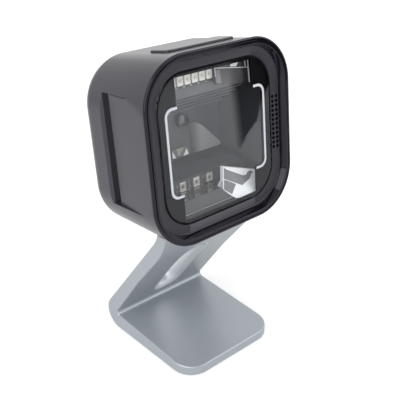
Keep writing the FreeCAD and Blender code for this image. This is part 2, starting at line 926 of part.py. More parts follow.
def front_bezel():
    rim = head_square(0, 0, seam_depth)
    rim = rim.makeFillet(lip_radius, rear_edges(rim, 0))
    tongue_half = shell_top(tongue_end) - shell_wall - tongue_gap
    bezel = rim.fuse(head_square(head_half - tongue_half, seam_depth, tongue_end))
    dish_inset = head_half - dish_half
    bezel = bezel.cut(head_funnel(lip_width, 0, dish_inset, dish_depth))
    bezel = bezel.cut(head_funnel(dish_inset, dish_depth, band_margin, band_depth))
    bezel = bezel.cut(slab(window_half_x + window_gap, window_half_z + window_gap,
                           window_corner_radius + window_gap, 0, ledge_front))
    bezel = bezel.cut(slab(ledge_half_x, ledge_half_z, ledge_corner_radius, 0, tongue_end))
    bezel = bezel.cut(head_square(dish_inset - tongue_cover, ledge_back, tongue_end))
    groove = head_square(rim_groove_margin, 0, rim_groove_depth)
    groove = groove.cut(head_square(rim_groove_margin + rim_groove_width, 0, rim_groove_depth))
    bezel = bezel.cut(groove)
    inner, outer, half_z = sound_room_span(sound_room_border)
    bezel = bezel.cut(box(inner, outer, band_depth + band_thickness, tongue_end, -half_z, half_z))
    holes = [rod(sound_hole_radius, (x, 0, z), (x, tongue_end, z)) for x, z in sound_hole_places()]
    bezel = bezel.cut(holes)
    pilots = [rod(small_screw[2] + thread_clearance, (x, chassis_pilot_front, z), (x, tongue_end, z))
              for x, z in chassis_screw_places()]
    return bezel.cut(pilots)


def sound_room_span(border):
    """Inner and outer x and half height of the room behind the sound holes."""
    inner = sound_hole_inner_x - sound_hole_radius - border
    outer = sound_hole_inner_x + sound_hole_spacing + sound_hole_radius + border
    return inner, outer, sound_half_z + border


def speaker_mesh():
    back = band_depth + band_thickness
    inner, outer, half_z = sound_room_span(0)
    return box(inner, outer, back, back + mesh_thickness, -half_z, half_z)


def mark_slab(grow):
    return slab(mark_half_x + grow, mark_half_z + grow, mark_corner_radius + grow,
                window_depth, window_depth + mark_thickness)


def target_mark(side):
    """Bracket-shaped inlay on one side of the aperture, flush with the pane's front."""
    ring = mark_slab(mark_width / 2).cut(mark_slab(-mark_width / 2))
    near = side * (aperture_half_x + mark_end_gap)
    far = side * window_half_x
    return ring.common(box(min(near, far), max(near, far), 0, ledge_back, -head_half, head_half))


def window():
    pane = slab(window_half_x, window_half_z, window_corner_radius, window_depth, mask_front)
    pane = pane.makeChamfer(window_chamfer, rear_edges(pane, window_depth))
    return pane.cut([target_mark(-1), target_mark(1)])


def window_mask():
    """Black border with a tall opening, widened between the two target marks."""
    back = mask_front + mask_thickness
    mask = slab(window_half_x, window_half_z, window_corner_radius, mask_front, back)
    tall = slab(aperture_half_x, aperture_half_z, aperture_corner_radius, mask_front, back)
    wide = slab(mark_half_x, mark_half_z, mark_corner_radius, mask_front, back)
    return mask.cut(tall.fuse(wide))


def window_gasket():
    front = mask_front + mask_thickness
    ring = slab(window_half_x, window_half_z, window_corner_radius, front, ledge_front)
    return ring.cut(slab(ledge_half_x, ledge_half_z, ledge_corner_radius, front, ledge_front))


# ---- Optical chassis

def ceiling_points(rise):
    """Stepped ceiling of the funnel, from back to front, moved up by rise."""
    depth_step = (funnel_back_depth - upper_board_depth - board_thickness) / ceiling_steps
    height_step = (upper_board_bottom - funnel_back_top) / ceiling_steps
    points = []
    for i in range(ceiling_steps):
        points.append((funnel_back_depth - i * depth_step, funnel_back_top + rise + i * height_step))
        points.append((funnel_back_depth - (i + ceiling_tread) * depth_step,
                       funnel_back_top + rise + i * height_step))
    return points


def funnel_hollow():
    board_back = upper_board_depth + board_thickness
    outline = [
        (ledge_back - 1, funnel_floor_z),
        (flange_back, funnel_floor_z),
        (lower_board_depth, lower_board_bottom),
        (lower_board_depth, lower_board_top),
        (funnel_back_depth, funnel_back_bottom),
    ]
    outline += ceiling_points(0)
    outline += [(board_back, upper_board_bottom), (board_back, funnel_top_z), (ledge_back - 1, funnel_top_z)]
    section = side_prism(outline, -60, 60)
    plan = plan_prism([
        (-funnel_half_x, ledge_back - 1), (funnel_half_x, ledge_back - 1),
        (funnel_half_x, ledge_back), (funnel_rear_half_x, funnel_back_depth + 1),
        (-funnel_rear_half_x, funnel_back_depth + 1), (-funnel_half_x, ledge_back)], -60, 60)
    return section.common(plan)


def funnel_block():
    wall = funnel_wall
    board_back = upper_board_depth + board_thickness
    slot_back = lower_board_depth + board_thickness + wall
    outline = [
        (ledge_back, funnel_floor_z - floor_wall),
        (flange_back, funnel_floor_z - floor_wall),
        (lower_board_depth - board_seat, lower_board_bottom - wall - board_seat / 2),
        (slot_back, lower_board_bottom - wall - board_seat / 2),
        (slot_back, lower_board_top),
        (funnel_back_depth + wall, funnel_back_bottom - wall),
        (funnel_back_depth + wall, funnel_back_top + wall),
    ]
    outline += ceiling_points(wall)[1:]
    outline += [(board_back + wall, upper_board_bottom + wall), (board_back + wall, funnel_top_z + wall),
                (ledge_back, funnel_top_z + wall)]
    section = side_prism(outline, -60, 60)
    half = funnel_half_x + wall
    rear_half = funnel_rear_half_x + wall
    plan = plan_prism([
        (-half, ledge_back), (half, ledge_back), (rear_half, funnel_back_depth + wall),
        (-rear_half, funnel_back_depth + wall)], -60, 60)
    return section.common(plan)


def optical_chassis():
    flange_half = dish_half + tongue_cover - flange_gap
    flange_radius = head_corner_radius - head_half + flange_half
    flange = slab(flange_half, flange_half, flange_radius, ledge_back, flange_back)
    chassis = flange.fuse(funnel_block())
    for x, z in housing_screw_places():
        chassis = chassis.fuse(rod(post_radius, (x, ledge_back, z), (x, shell_axis_end - boss_length, z)))
    for side in (-1, 1):
        x = side * camera_screw_x
        chassis = chassis.fuse(rod(camera_post_radius, (x, funnel_back_depth, camera_z),
                                   (x, camera_board_depth, camera_z)))
    chassis = chassis.cut(funnel_hollow())
    sound_end = sound_half_z + sound_hole_radius
    chassis = chassis.cut(box(sound_hole_inner_x - speaker_half_width, head_half, ledge_back, flange_back,
                              -sound_end, sound_end))
    chassis = chassis.cut(box(-lower_board_half_x, lower_board_half_x, lower_board_depth,
                              lower_board_depth + board_thickness,
                              lower_board_bottom - board_seat, lower_board_top + board_seat))
    chassis = chassis.cut(rod(lens_barrel_radius + camera_fit, (0, lens_front_depth, camera_z),
                              (0, camera_board_depth, camera_z)))
    pilots = []
    for x, z in housing_screw_places():
        tip = housing_screw_seat() - housing_screw_length - screw_tip_gap
        pilots.append(rod(housing_screw[2] + thread_clearance, (x, tip, z), (x, head_depth, z)))
    for x, z in chassis_screw_places():
        pilots.append(rod(small_screw[2] + shank_gap, (x, 0, z), (x, lower_board_depth, z)))
    for side in (-1, 1):
        x = side * camera_screw_x
        tip = camera_board_depth + board_thickness - camera_screw_length - screw_tip_gap
        pilots.append(rod(small_screw[2] + thread_clearance, (x, tip, camera_z), (x, head_depth, camera_z)))
    return chassis.cut(pilots)


def chassis_screws():
    return group([screw(small_screw, (x, flange_back, z), (0, -1, 0), chassis_screw_length)
                  for x, z in chassis_screw_places()])


def led(x, z, depth, width):
    """Square lamp package whose back is at the given depth, with a small round lens."""
    front = depth - led_thickness
    body = box(x - width / 2, x + width / 2, front, depth, z - led_height / 2, z + led_height / 2)
    recess = Part.makeCone(width * led_well_front, width * led_well_back, led_well_depth, Vector(x, front, z),
                           Vector(0, 1, 0))
    seat = front + led_well_depth
    lens = rod(led_dome_radius, (x, seat - led_dome_rise, z), (x, seat, z))
    return body.cut(recess).fuse(lens)


def upper_leds():
    return group([led(upper_led_last_x - i * upper_led_pitch, upper_led_z, upper_board_depth, led_width)
                  for i in range(upper_led_count)])


def lower_leds():
    return group([led(lower_led_last_x - i * lower_led_pitch, lower_led_z, lower_board_depth, lower_led_width)
                  for i in range(lower_led_count)])


def upper_led_board():
    return box(upper_board_left, upper_board_right, upper_board_depth,
               upper_board_depth + board_thickness, upper_board_bottom, funnel_top_z)


def lower_led_board():
    return box(-lower_board_half_x, lower_board_half_x, lower_board_depth,
               lower_board_depth + board_thickness, lower_board_bottom - board_seat,
               lower_board_top + board_seat)


def aiming_prism():
    low = funnel_back_bottom + prism_gap
    high = low + prism_height
    outline = [(prism_left, low), (prism_right, low), (prism_right - prism_slant, high), (prism_left + prism_slant, high)]
    return front_prism(outline, funnel_back_depth - prism_thickness, funnel_back_depth)


# ---- Camera

def lens_holder():
    half = lens_holder_size / 2
    back = camera_board_depth
    front = funnel_back_depth + funnel_wall
    holder = box(-half, half, front, back, camera_z - half, camera_z + half)
    holder = holder.cut(rod(lens_barrel_radius + camera_fit, (0, front, camera_z), (0, back - lens_seat, camera_z)))
    room = sensor_half + sensor_gap
    return holder.cut(box(-room, room, back - lens_seat, back, camera_z - room, camera_z + room))


def lens_barrel():
    end = camera_board_depth - lens_seat
    tube = rod(lens_barrel_radius, (0, lens_front_depth, camera_z), (0, end, camera_z))
    tube = tube.cut(rod(lens_radius, (0, lens_front_depth, camera_z), (0, lens_front_depth + lens_seat, camera_z)))
    return tube.cut(rod(lens_radius - lens_ring, (0, lens_front_depth, camera_z), (0, end, camera_z)))


def camera_lens():
    front = lens_front_depth + lens_inset
    disc = rod(lens_radius, (0, front, camera_z), (0, lens_front_depth + lens_seat, camera_z))
    ball = Part.makeSphere(lens_curve_radius, Vector(0, front + lens_curve_radius, camera_z))
    return disc.common(ball)


def image_sensor():
    return box(-sensor_half, sensor_half, camera_board_depth - sensor_thickness, camera_board_depth,
               camera_z - sensor_half, camera_z + sensor_half)


def camera_board():
    board = box(-camera_board_half_x, camera_board_half_x, camera_board_depth,
                camera_board_depth + board_thickness, camera_board_bottom, camera_board_top)
    for side in (-1, 1):
        x = side * camera_screw_x
        board = board.cut(rod(small_screw[2] + shank_gap, (x, 0, camera_z), (x, head_depth, camera_z)))
    return board


def camera_screws():
    seat = camera_board_depth + board_thickness
    return group([screw(small_screw, (side * camera_screw_x, seat, camera_z), (0, -1, 0), camera_screw_length)
                  for side in (-1, 1)])


def camera_connector():
    low = camera_board_bottom + connector_margin
    return box(-connector_half_x, connector_half_x, camera_board_depth + board_thickness, main_board_depth,
               low, low + connector_width)


# ---- Main board, sound, socket

def main_board():
    back = main_board_depth + main_board_thickness
    board = box(-main_board_half_x, main_board_half_x, main_board_depth, back, main_board_bottom, main_board_top)
    for x, z in main_board_screw_places():
        board = board.cut(rod(small_screw[2] + shank_gap, (x, 0, z), (x, head_depth, z)))
    return board


def main_board_screws():
    return group([screw(small_screw, (x, main_board_depth, z), (0, 1, 0), main_screw_length)
                  for x, z in main_board_screw_places()])


def board_chips():
    back = main_board_depth + main_board_thickness
    return group([box(x - width / 2, x + width / 2, back, back + rise, z - height / 2, z + height / 2)
                  for x, z, width, height, rise in chip_sizes])


def stadium(x, half_width, half_height, y0, y1):
    return slab(half_width, half_height, half_width * 0.98, y0, y1).translated(Vector(x, 0, 0))


def speaker_frame():
    end = speaker_front + speaker_depth
    frame = stadium(speaker_x, speaker_half_width, speaker_half_height, speaker_front, end)
    return frame.cut(stadium(speaker_x, speaker_half_width - speaker_wall, speaker_half_height - speaker_wall,
                             speaker_front, end - speaker_back))


def speaker_cone():
    front = speaker_front + speaker_wall
    return stadium(speaker_x, speaker_half_width - speaker_wall, speaker_half_height - speaker_wall,
                   front, front + cone_thickness)


def speaker_magnet():
    front = speaker_front + speaker_wall + cone_thickness
    end = speaker_front + speaker_depth - speaker_back
    return stadium(speaker_x, speaker_half_width - magnet_border_x, speaker_half_height - magnet_border_z, front, end)


def socket_bottom():
    return shell_bottom(socket_front) + socket_recess


def cable_socket():
    bottom = socket_bottom()
    body = box(-socket_half_width, socket_half_width, socket_front, main_board_depth,
               bottom, bottom + socket_height)
    mouth = box(-socket_mouth_half_width, socket_mouth_half_width, socket_mouth_front,
                socket_mouth_front + socket_mouth_depth, bottom, bottom + socket_mouth_height)
    latch = box(-socket_latch_half_width, socket_latch_half_width, socket_mouth_front + socket_mouth_depth,
                socket_mouth_front + socket_mouth_depth + socket_latch_depth, bottom, bottom + socket_latch_height)
    return body.cut(mouth.fuse(latch))


def socket_contacts():
    bottom = socket_bottom()
    wires = []
    for i in range(contact_count):
        x = (i - (contact_count - 1) / 2) * contact_pitch
        wires.append(box(x - contact_half_width, x + contact_half_width, socket_mouth_front,
                         socket_mouth_front + contact_thickness, bottom + contact_start,
                         bottom + socket_mouth_height))
    return group(wires)


# ---- Button

def button_board_posts():
    return [(x, button_mid) for x in (-button_post_x, button_post_x)]


def button_flange_top():
    return shell_top(button_rear) - shell_wall - button_flange_gap


def button_board_top():
    return button_flange_top() - button_flange - button_rest_gap - button_travel - switch_height


def top_button():
    flange_top = button_flange_top()
    cap = button_prism(0, flange_top - button_flange, button_proud)
    roof_edges = [edge for edge in cap.Edges if edge.BoundBox.ZMin > shell_top(button_rear) + button_proud / 2]
    cap = cap.makeFillet(button_edge_radius, roof_edges)
    half_x = button_half_x + button_flange_reach
    front = button_front - button_flange_reach
    rear = button_rear + button_flange_reach
    flange = plan_prism([(-half_x, front), (half_x, front), (half_x, rear), (-half_x, rear)],
                        flange_top - button_flange, flange_top, [button_corner_radius] * 4)
    return cap.fuse(flange)


def switch_plungers():
    top = button_flange_top() - button_flange
    bottom = button_board_top() + switch_height - plunger_reach
    return group([rod(plunger_radius, (x, button_mid, bottom), (x, button_mid, top))
                  for x in (-switch_x, switch_x)])


def button_switches():
    solids = []
    half = switch_size / 2
    bottom = button_board_top()
    top = bottom + switch_height
    well_bottom = top - plunger_reach - button_travel - button_rest_gap
    for x in (-switch_x, switch_x):
        body = box(x - half, x + half, button_mid - half, button_mid + half, bottom, top)
        well = rod(plunger_radius + plunger_gap, (x, button_mid, well_bottom), (x, button_mid, top))
        solids.append(body.cut(well))
    return group(solids)


def button_board():
    top = button_board_top()
    board = box(-button_board_half_x, button_board_half_x, button_front + board_side_gap,
                button_rear - board_side_gap, top - board_thickness, top)
    for x, y in button_board_posts():
        board = board.cut(rod(small_screw[2] + shank_gap, (x, y, 30), (x, y, 60)))
    return board


def button_board_screws():
    seat = button_board_top() - board_thickness
    length = board_thickness + button_thread - screw_tip_gap
    return group([screw(small_screw, (x, y, seat), (0, 0, 1), length) for x, y in button_board_posts()])


# ---- Reflectors

def shrunk(points, share):
    centre_x = sum(x for x, z in points) / len(points)
    centre_z = sum(z for x, z in points) / len(points)
    return [(centre_x + (x - centre_x) * share, centre_z + (z - centre_z) * share) for x, z in points]


def reflector_wire(points, front_depth, slope, back):
    """Outline on a plane that starts at front_depth at its lowest point and leans back by slope."""
    lowest = min(z for x, z in points)
    corners = [Vector(x, front_depth + slope * (z - lowest) + back, z) for x, z in points]
    return rounded_path(corners, [0] * len(corners))


def faceted_reflector(points, front_depth, slope, depth, floor_share):
    """Open tray with flat facets: a thin rim, slanted walls and a smaller back."""
    floor = shrunk(points, floor_share)
    floor_front = front_depth + slope * (min(z for x, z in floor) - min(z for x, z in points))
    rim = shrunk(points, reflector_rim_share)
    rim_front = front_depth + slope * (min(z for x, z in rim) - min(z for x, z in points))
    small = shrunk(floor, reflector_rim_share)
    small_front = front_depth + slope * (min(z for x, z in small) - min(z for x, z in points))
    outer = Part.makeLoft([
        reflector_wire(points, front_depth, slope, 0),
        reflector_wire(floor, floor_front, slope, depth + reflector_wall)], True, True)
    inner = Part.makeLoft([
        reflector_wire(rim, rim_front, slope, -reflector_wall),
        reflector_wire(small, small_front, slope, depth)], True, True)
    return outer.cut(inner)


def upper_reflector():
    corners = [(funnel_half_x + x, funnel_top_z + z) for x, z in upper_reflector_corners]
    return faceted_reflector(corners, upper_reflector_front, upper_reflector_slope,
                             upper_reflector_depth, upper_reflector_floor)


def lower_reflector():
    corners = [(funnel_half_x + x, funnel_floor_z + z) for x, z in lower_reflector_corners]
    tray = faceted_reflector(corners, lower_reflector_front, lower_reflector_slope,
                             lower_reflector_depth, lower_reflector_floor)
    below = side_prism([
        (ledge_back, -60), (ledge_back, funnel_floor_z), (flange_back, funnel_floor_z),
        (lower_board_depth, lower_board_bottom), (lower_board_depth, -60)], -60, 60)
    return tray.cut(below)


save("stand_body", stand_body())
save("ballast_plate", ballast_plate())
save("ballast_screws", ballast_screws())
save("base_pad", base_pad())

head_pieces = {
    "tilt_pin": tilt_pin(),
    "pin_retainer": pin_retainer(),
    "friction_washers": friction_washers(),
    "hinge_cradle": hinge_cradle(),
    "cradle_screws": cradle_screws(),
    "rear_housing": rear_housing(),
    "housing_screws": housing_screws(),
    "front_bezel": front_bezel(),
    "speaker_mesh": speaker_mesh(),
    "window": window(),
    "window_mask": window_mask(),
    "target_mark_left": target_mark(-1),
    "target_mark_right": target_mark(1),
    "window_gasket": window_gasket(),
    "optical_chassis": optical_chassis(),
    "chassis_screws": chassis_screws(),
    "upper_led_board": upper_led_board(),
    "upper_leds": upper_leds(),
    "lower_led_board": lower_led_board(),
    "lower_leds": lower_leds(),
    "upper_reflector": upper_reflector(),
    "lower_reflector": lower_reflector(),
    "aiming_prism": aiming_prism(),
    "lens_holder": lens_holder(),
    "lens_barrel": lens_barrel(),
    "camera_lens": camera_lens(),
    "image_sensor": image_sensor(),
    "camera_board": camera_board(),
    "camera_screws": camera_screws(),
    "camera_connector": camera_connector(),
    "main_board": main_board(),
    "main_board_screws": main_board_screws(),
    "board_chips": board_chips(),
    "speaker_frame": speaker_frame(),
    "speaker_cone": speaker_cone(),
    "speaker_magnet": speaker_magnet(),
    "cable_socket": cable_socket(),
    "socket_contacts": socket_contacts(),
    "button_board": button_board(),
    "button_board_screws": button_board_screws(),
    "button_switches": button_switches(),
    "top_button": top_button(),
    "switch_plungers": switch_plungers(),
}
for node, shape in head_pieces.items():
    save(node, in_head(shape))
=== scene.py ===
import json
import math
from functools import partial
import bmesh
import bpy
from mathutils import Matrix, Vector


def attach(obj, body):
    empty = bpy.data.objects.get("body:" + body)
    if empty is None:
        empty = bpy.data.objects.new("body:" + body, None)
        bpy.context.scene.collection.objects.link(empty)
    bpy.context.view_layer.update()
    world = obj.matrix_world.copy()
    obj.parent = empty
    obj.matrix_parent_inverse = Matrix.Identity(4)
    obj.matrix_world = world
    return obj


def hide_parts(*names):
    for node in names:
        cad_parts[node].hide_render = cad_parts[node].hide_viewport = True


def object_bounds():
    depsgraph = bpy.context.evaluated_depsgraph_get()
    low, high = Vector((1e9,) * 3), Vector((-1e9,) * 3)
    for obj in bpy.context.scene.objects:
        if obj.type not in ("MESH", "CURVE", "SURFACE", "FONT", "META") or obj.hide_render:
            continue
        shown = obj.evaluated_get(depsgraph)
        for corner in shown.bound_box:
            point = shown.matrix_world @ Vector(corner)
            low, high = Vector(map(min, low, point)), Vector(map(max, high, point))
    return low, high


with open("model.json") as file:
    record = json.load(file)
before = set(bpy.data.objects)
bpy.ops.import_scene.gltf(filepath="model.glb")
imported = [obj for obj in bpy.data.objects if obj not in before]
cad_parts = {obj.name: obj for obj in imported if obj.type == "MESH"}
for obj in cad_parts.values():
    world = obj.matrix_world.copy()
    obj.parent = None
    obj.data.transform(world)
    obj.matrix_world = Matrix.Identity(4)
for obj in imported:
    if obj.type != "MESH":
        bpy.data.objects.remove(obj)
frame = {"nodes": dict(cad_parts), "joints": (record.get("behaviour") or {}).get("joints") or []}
cadBox = [list(corner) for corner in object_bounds()]
nodes = frame["nodes"]
scene = bpy.context.scene
mm = 0.001

# Head pieces are drawn in the head's own frame, in millimetres:
# x across, y into the head from the front of the rim, z up from the middle of the rim.
pinPlace = {"depth": 15.3, "drop": 41.0}
joints = {joint["name"]: joint for joint in frame["joints"]}
pressAxis = joints["button_press"]["axis"]
headTilt = math.atan2(-pressAxis[1], -pressAxis[2])
headPlace = (
    Matrix.Translation(Vector(joints["head_tilt"]["pos_m"]))
    @ Matrix.Rotation(-headTilt, 4, "X")
    @ Matrix.Translation(Vector((0, -pinPlace["depth"], pinPlace["drop"])) * mm)
    @ Matrix.Scale(mm, 4)
)
standPlace = Matrix.Scale(mm, 4)
toHead = headPlace.inverted()

view = {
    "eye": (-0.21775, -0.25260, 0.25217),
    "target": (0.00755, -0.00130, 0.08308),
    "lens": 61.05,
    "sensor": 36.0,
}


def addObject(name, data):
    thing = bpy.data.objects.new(name, data)
    scene.collection.objects.link(thing)
    return thing


def aim(thing, place, target):
    thing.location = place
    thing.rotation_euler = (Vector(target) - Vector(place)).to_track_quat("-Z", "Y").to_euler()


def addCamera():
    data = bpy.data.cameras.new("viewCamera")
    data.lens, data.sensor_width = view["lens"], view["sensor"]
    data.clip_start, data.clip_end = 0.01, 20
    scene.camera = addObject("viewCamera", data)
    aim(scene.camera, view["eye"], view["target"])


addCamera()
print("camera set")

trees = []


def addNode(tree, kind, **settings):
    node = tree.nodes.new(kind)
    for key, value in settings.items():
        setattr(node, key, value)
    return node


def feed(value, socket):
    # an input takes a plain value, or a link from another node's output
    if isinstance(value, bpy.types.NodeSocket):
        socket.id_data.links.new(value, socket)
    else:
        socket.default_value = value


def fill(node, *values, **named):
    for socket, value in zip(node.inputs, values):
        feed(value, socket)
    for label, value in named.items():
        feed(value, node.inputs[label.replace("_", " ")])
    return node


def made(tree, kind, *values, settings=None, **named):
    return fill(addNode(tree, kind, **(settings or {})), *values, **named).outputs[0]


def calculate(operation, *values, clamp=False):
    tree = next(value.id_data for value in values if isinstance(value, bpy.types.NodeSocket))
    return fill(addNode(tree, "ShaderNodeMath", operation=operation, use_clamp=clamp), *values).outputs[0]


plus, minus, times, over = (partial(calculate, kind) for kind in ("ADD", "SUBTRACT", "MULTIPLY", "DIVIDE"))
timesPlus = partial(calculate, "MULTIPLY_ADD")


def newTree(name, kind, inputs, outputs):
    # a node group whose sockets are given as lists of labels for each kind of value
    tree = bpy.data.node_groups.new(name, kind)
    for way, sockets in (("INPUT", inputs), ("OUTPUT", outputs)):
        for value, labels in sockets.items():
            for label in labels:
                tree.interface.new_socket(label, in_out=way, socket_type="NodeSocket" + value)
    trees.append(tree)
    return tree, addNode(tree, "NodeGroupInput").outputs, addNode(tree, "NodeGroupOutput").inputs


def startTree(holder, output):
    holder.use_nodes = True
    tree = holder.node_tree
    tree.nodes.clear()
    trees.append(tree)
    return tree, addNode(tree, output).inputs[0]


def startMaterial(name):
    material = bpy.data.materials.new(name)
    return material, *startTree(material, "ShaderNodeOutputMaterial")


def startPlastic(name):
    material, tree, surface = startMaterial(name)
    shader = addNode(tree, "ShaderNodeBsdfPrincipled")
    feed(shader.outputs[0], surface)
    return material, tree, shader


def objectPlace(tree):
    return addNode(tree, "ShaderNodeTexCoord").outputs["Object"]


def noise(tree, place, **settings):
    return fill(addNode(tree, "ShaderNodeTexNoise"), Vector=place, **settings).outputs["Fac"]


def colourMix(tree, share, first, second):
    blend = fill(addNode(tree, "ShaderNodeMix", data_type="RGBA"), Factor=share)
    feed(first, blend.inputs[6])
    feed(second, blend.inputs[7])
    return blend.outputs[2]


def smoothRamp(tree, value, **limits):
    return fill(addNode(tree, "ShaderNodeMapRange", interpolation_type="SMOOTHSTEP"), Value=value, **limits).outputs[0]


def makeGrainGroup():
    # moulded or painted surface: slow tone drift, fine grain height, and patches that gloss differently
    group, source, result = newTree("mouldedGrain", "ShaderNodeTree", {
        "Color": ["Colour"],
        "Float": ["Roughness", "Variation", "Patch Scale", "Grain Scale", "Grain Depth", "Smudge"],
    }, {"Color": ["Colour"], "Float": ["Roughness", "Height"]})
    place = objectPlace(group)
    grain = noise(group, place, Scale=source["Grain Scale"], Detail=2.0)
    centred = minus(noise(group, place, Scale=source["Patch Scale"], Detail=3.0), 0.5)
    shade = timesPlus(centred, source["Variation"], 1.0)
    tint = fill(addNode(group, "ShaderNodeVectorMath", operation="SCALE"), source["Colour"], Scale=shade)
    feed(tint.outputs["Vector"], result["Colour"])
    feed(plus(source["Roughness"], times(centred, source["Smudge"]), clamp=True), result["Roughness"])
    feed(times(grain, source["Grain Depth"]), result["Height"])
    return group


def makeDustGroup():
    # thin dust that settles on faces that look up
    group, source, result = newTree("settledDust", "ShaderNodeTree", {
        "Color": ["Colour", "Dust Colour"], "Float": ["Roughness", "Amount"],
    }, {"Color": ["Colour"], "Float": ["Roughness"]})
    place = objectPlace(group)
    facing = addNode(group, "ShaderNodeNewGeometry").outputs["Normal"]
    upward = calculate("MAXIMUM", fill(addNode(group, "ShaderNodeSeparateXYZ"), facing).outputs["Z"], 0.0)
    specks = noise(group, place, Scale=900.0, Detail=4.0, Roughness=0.7)
    drift = noise(group, place, Scale=60.0, Detail=2.0)
    mask = times(times(times(specks, drift), upward), source["Amount"], clamp=True)
    feed(colourMix(group, mask, source["Colour"], source["Dust Colour"]), result["Colour"])
    feed(timesPlus(mask, 0.5, source["Roughness"], clamp=True), result["Roughness"])
    return group


grainGroup = makeGrainGroup()
dustGroup = makeDustGroup()

plainFinish = {
    "roughness": 0.4, "metallic": 0.0, "variation": 0.08, "patchScale": 45.0, "grainScale": 2500.0,
    "grainDepth": 0.3, "smudge": 0.06, "bump": 0.02, "coat": 0.0, "coatRoughness": 0.1, "ior": 1.45,
    "dust": 0.0, "tint": (1, 1, 1),
}
dustColour = (0.30, 0.29, 0.28, 1)


def makeFinish(name, colour, **changes):
    look = {**plainFinish, **changes}
    material, tree, shader = startPlastic(name)
    last = fill(addNode(tree, "ShaderNodeGroup", node_tree=grainGroup), Colour=(*colour, 1),
                Roughness=look["roughness"], Variation=look["variation"], Patch_Scale=look["patchScale"],
                Grain_Scale=look["grainScale"], Grain_Depth=look["grainDepth"], Smudge=look["smudge"])
    if look["bump"] > 0:
        relief = fill(addNode(tree, "ShaderNodeBump"), Distance=look["bump"] * mm, Height=last.outputs["Height"])
        feed(relief.outputs[0], shader.inputs["Normal"])
    if look["dust"] > 0:
        last = fill(addNode(tree, "ShaderNodeGroup", node_tree=dustGroup), Amount=look["dust"],
                    Dust_Colour=dustColour, Colour=last.outputs["Colour"], Roughness=last.outputs["Roughness"])
    fill(shader, Base_Color=last.outputs["Colour"], Roughness=last.outputs["Roughness"], Metallic=look["metallic"],
         Coat_Weight=look["coat"], Coat_Roughness=look["coatRoughness"], IOR=look["ior"],
         Specular_Tint=(*look["tint"], 1))
    return material


def makePaintedLightFade(name, dark, pale, start, end):
    # painted light: dull plastic that turns from dark to pale across the object, from start to end in metres along x
    material, tree, shader = startPlastic(name)
    across = fill(addNode(tree, "ShaderNodeSeparateXYZ"), objectPlace(tree)).outputs["X"]
    share = smoothRamp(tree, across, From_Min=start, From_Max=end)
    fill(shader, Base_Color=colourMix(tree, share, (*dark, 1), (*pale, 1)), Roughness=0.3)
    return material


def makePane(name, base, rise):
    # clear pane: a mirror as weak as one face of clear plastic, stronger towards grazing
    material, tree, shader = startPlastic(name)
    facing = fill(addNode(tree, "ShaderNodeLayerWeight"), Blend=0.5).outputs["Facing"]
    smear = noise(tree, objectPlace(tree), Scale=30.0, Detail=4.0)
    fill(shader, Base_Color=(0.94, 0.96, 1, 1), Metallic=1.0, Roughness=times(smear, 0.03),
         Alpha=timesPlus(calculate("POWER", facing, 5.0), rise, base, clamp=True))
    return material


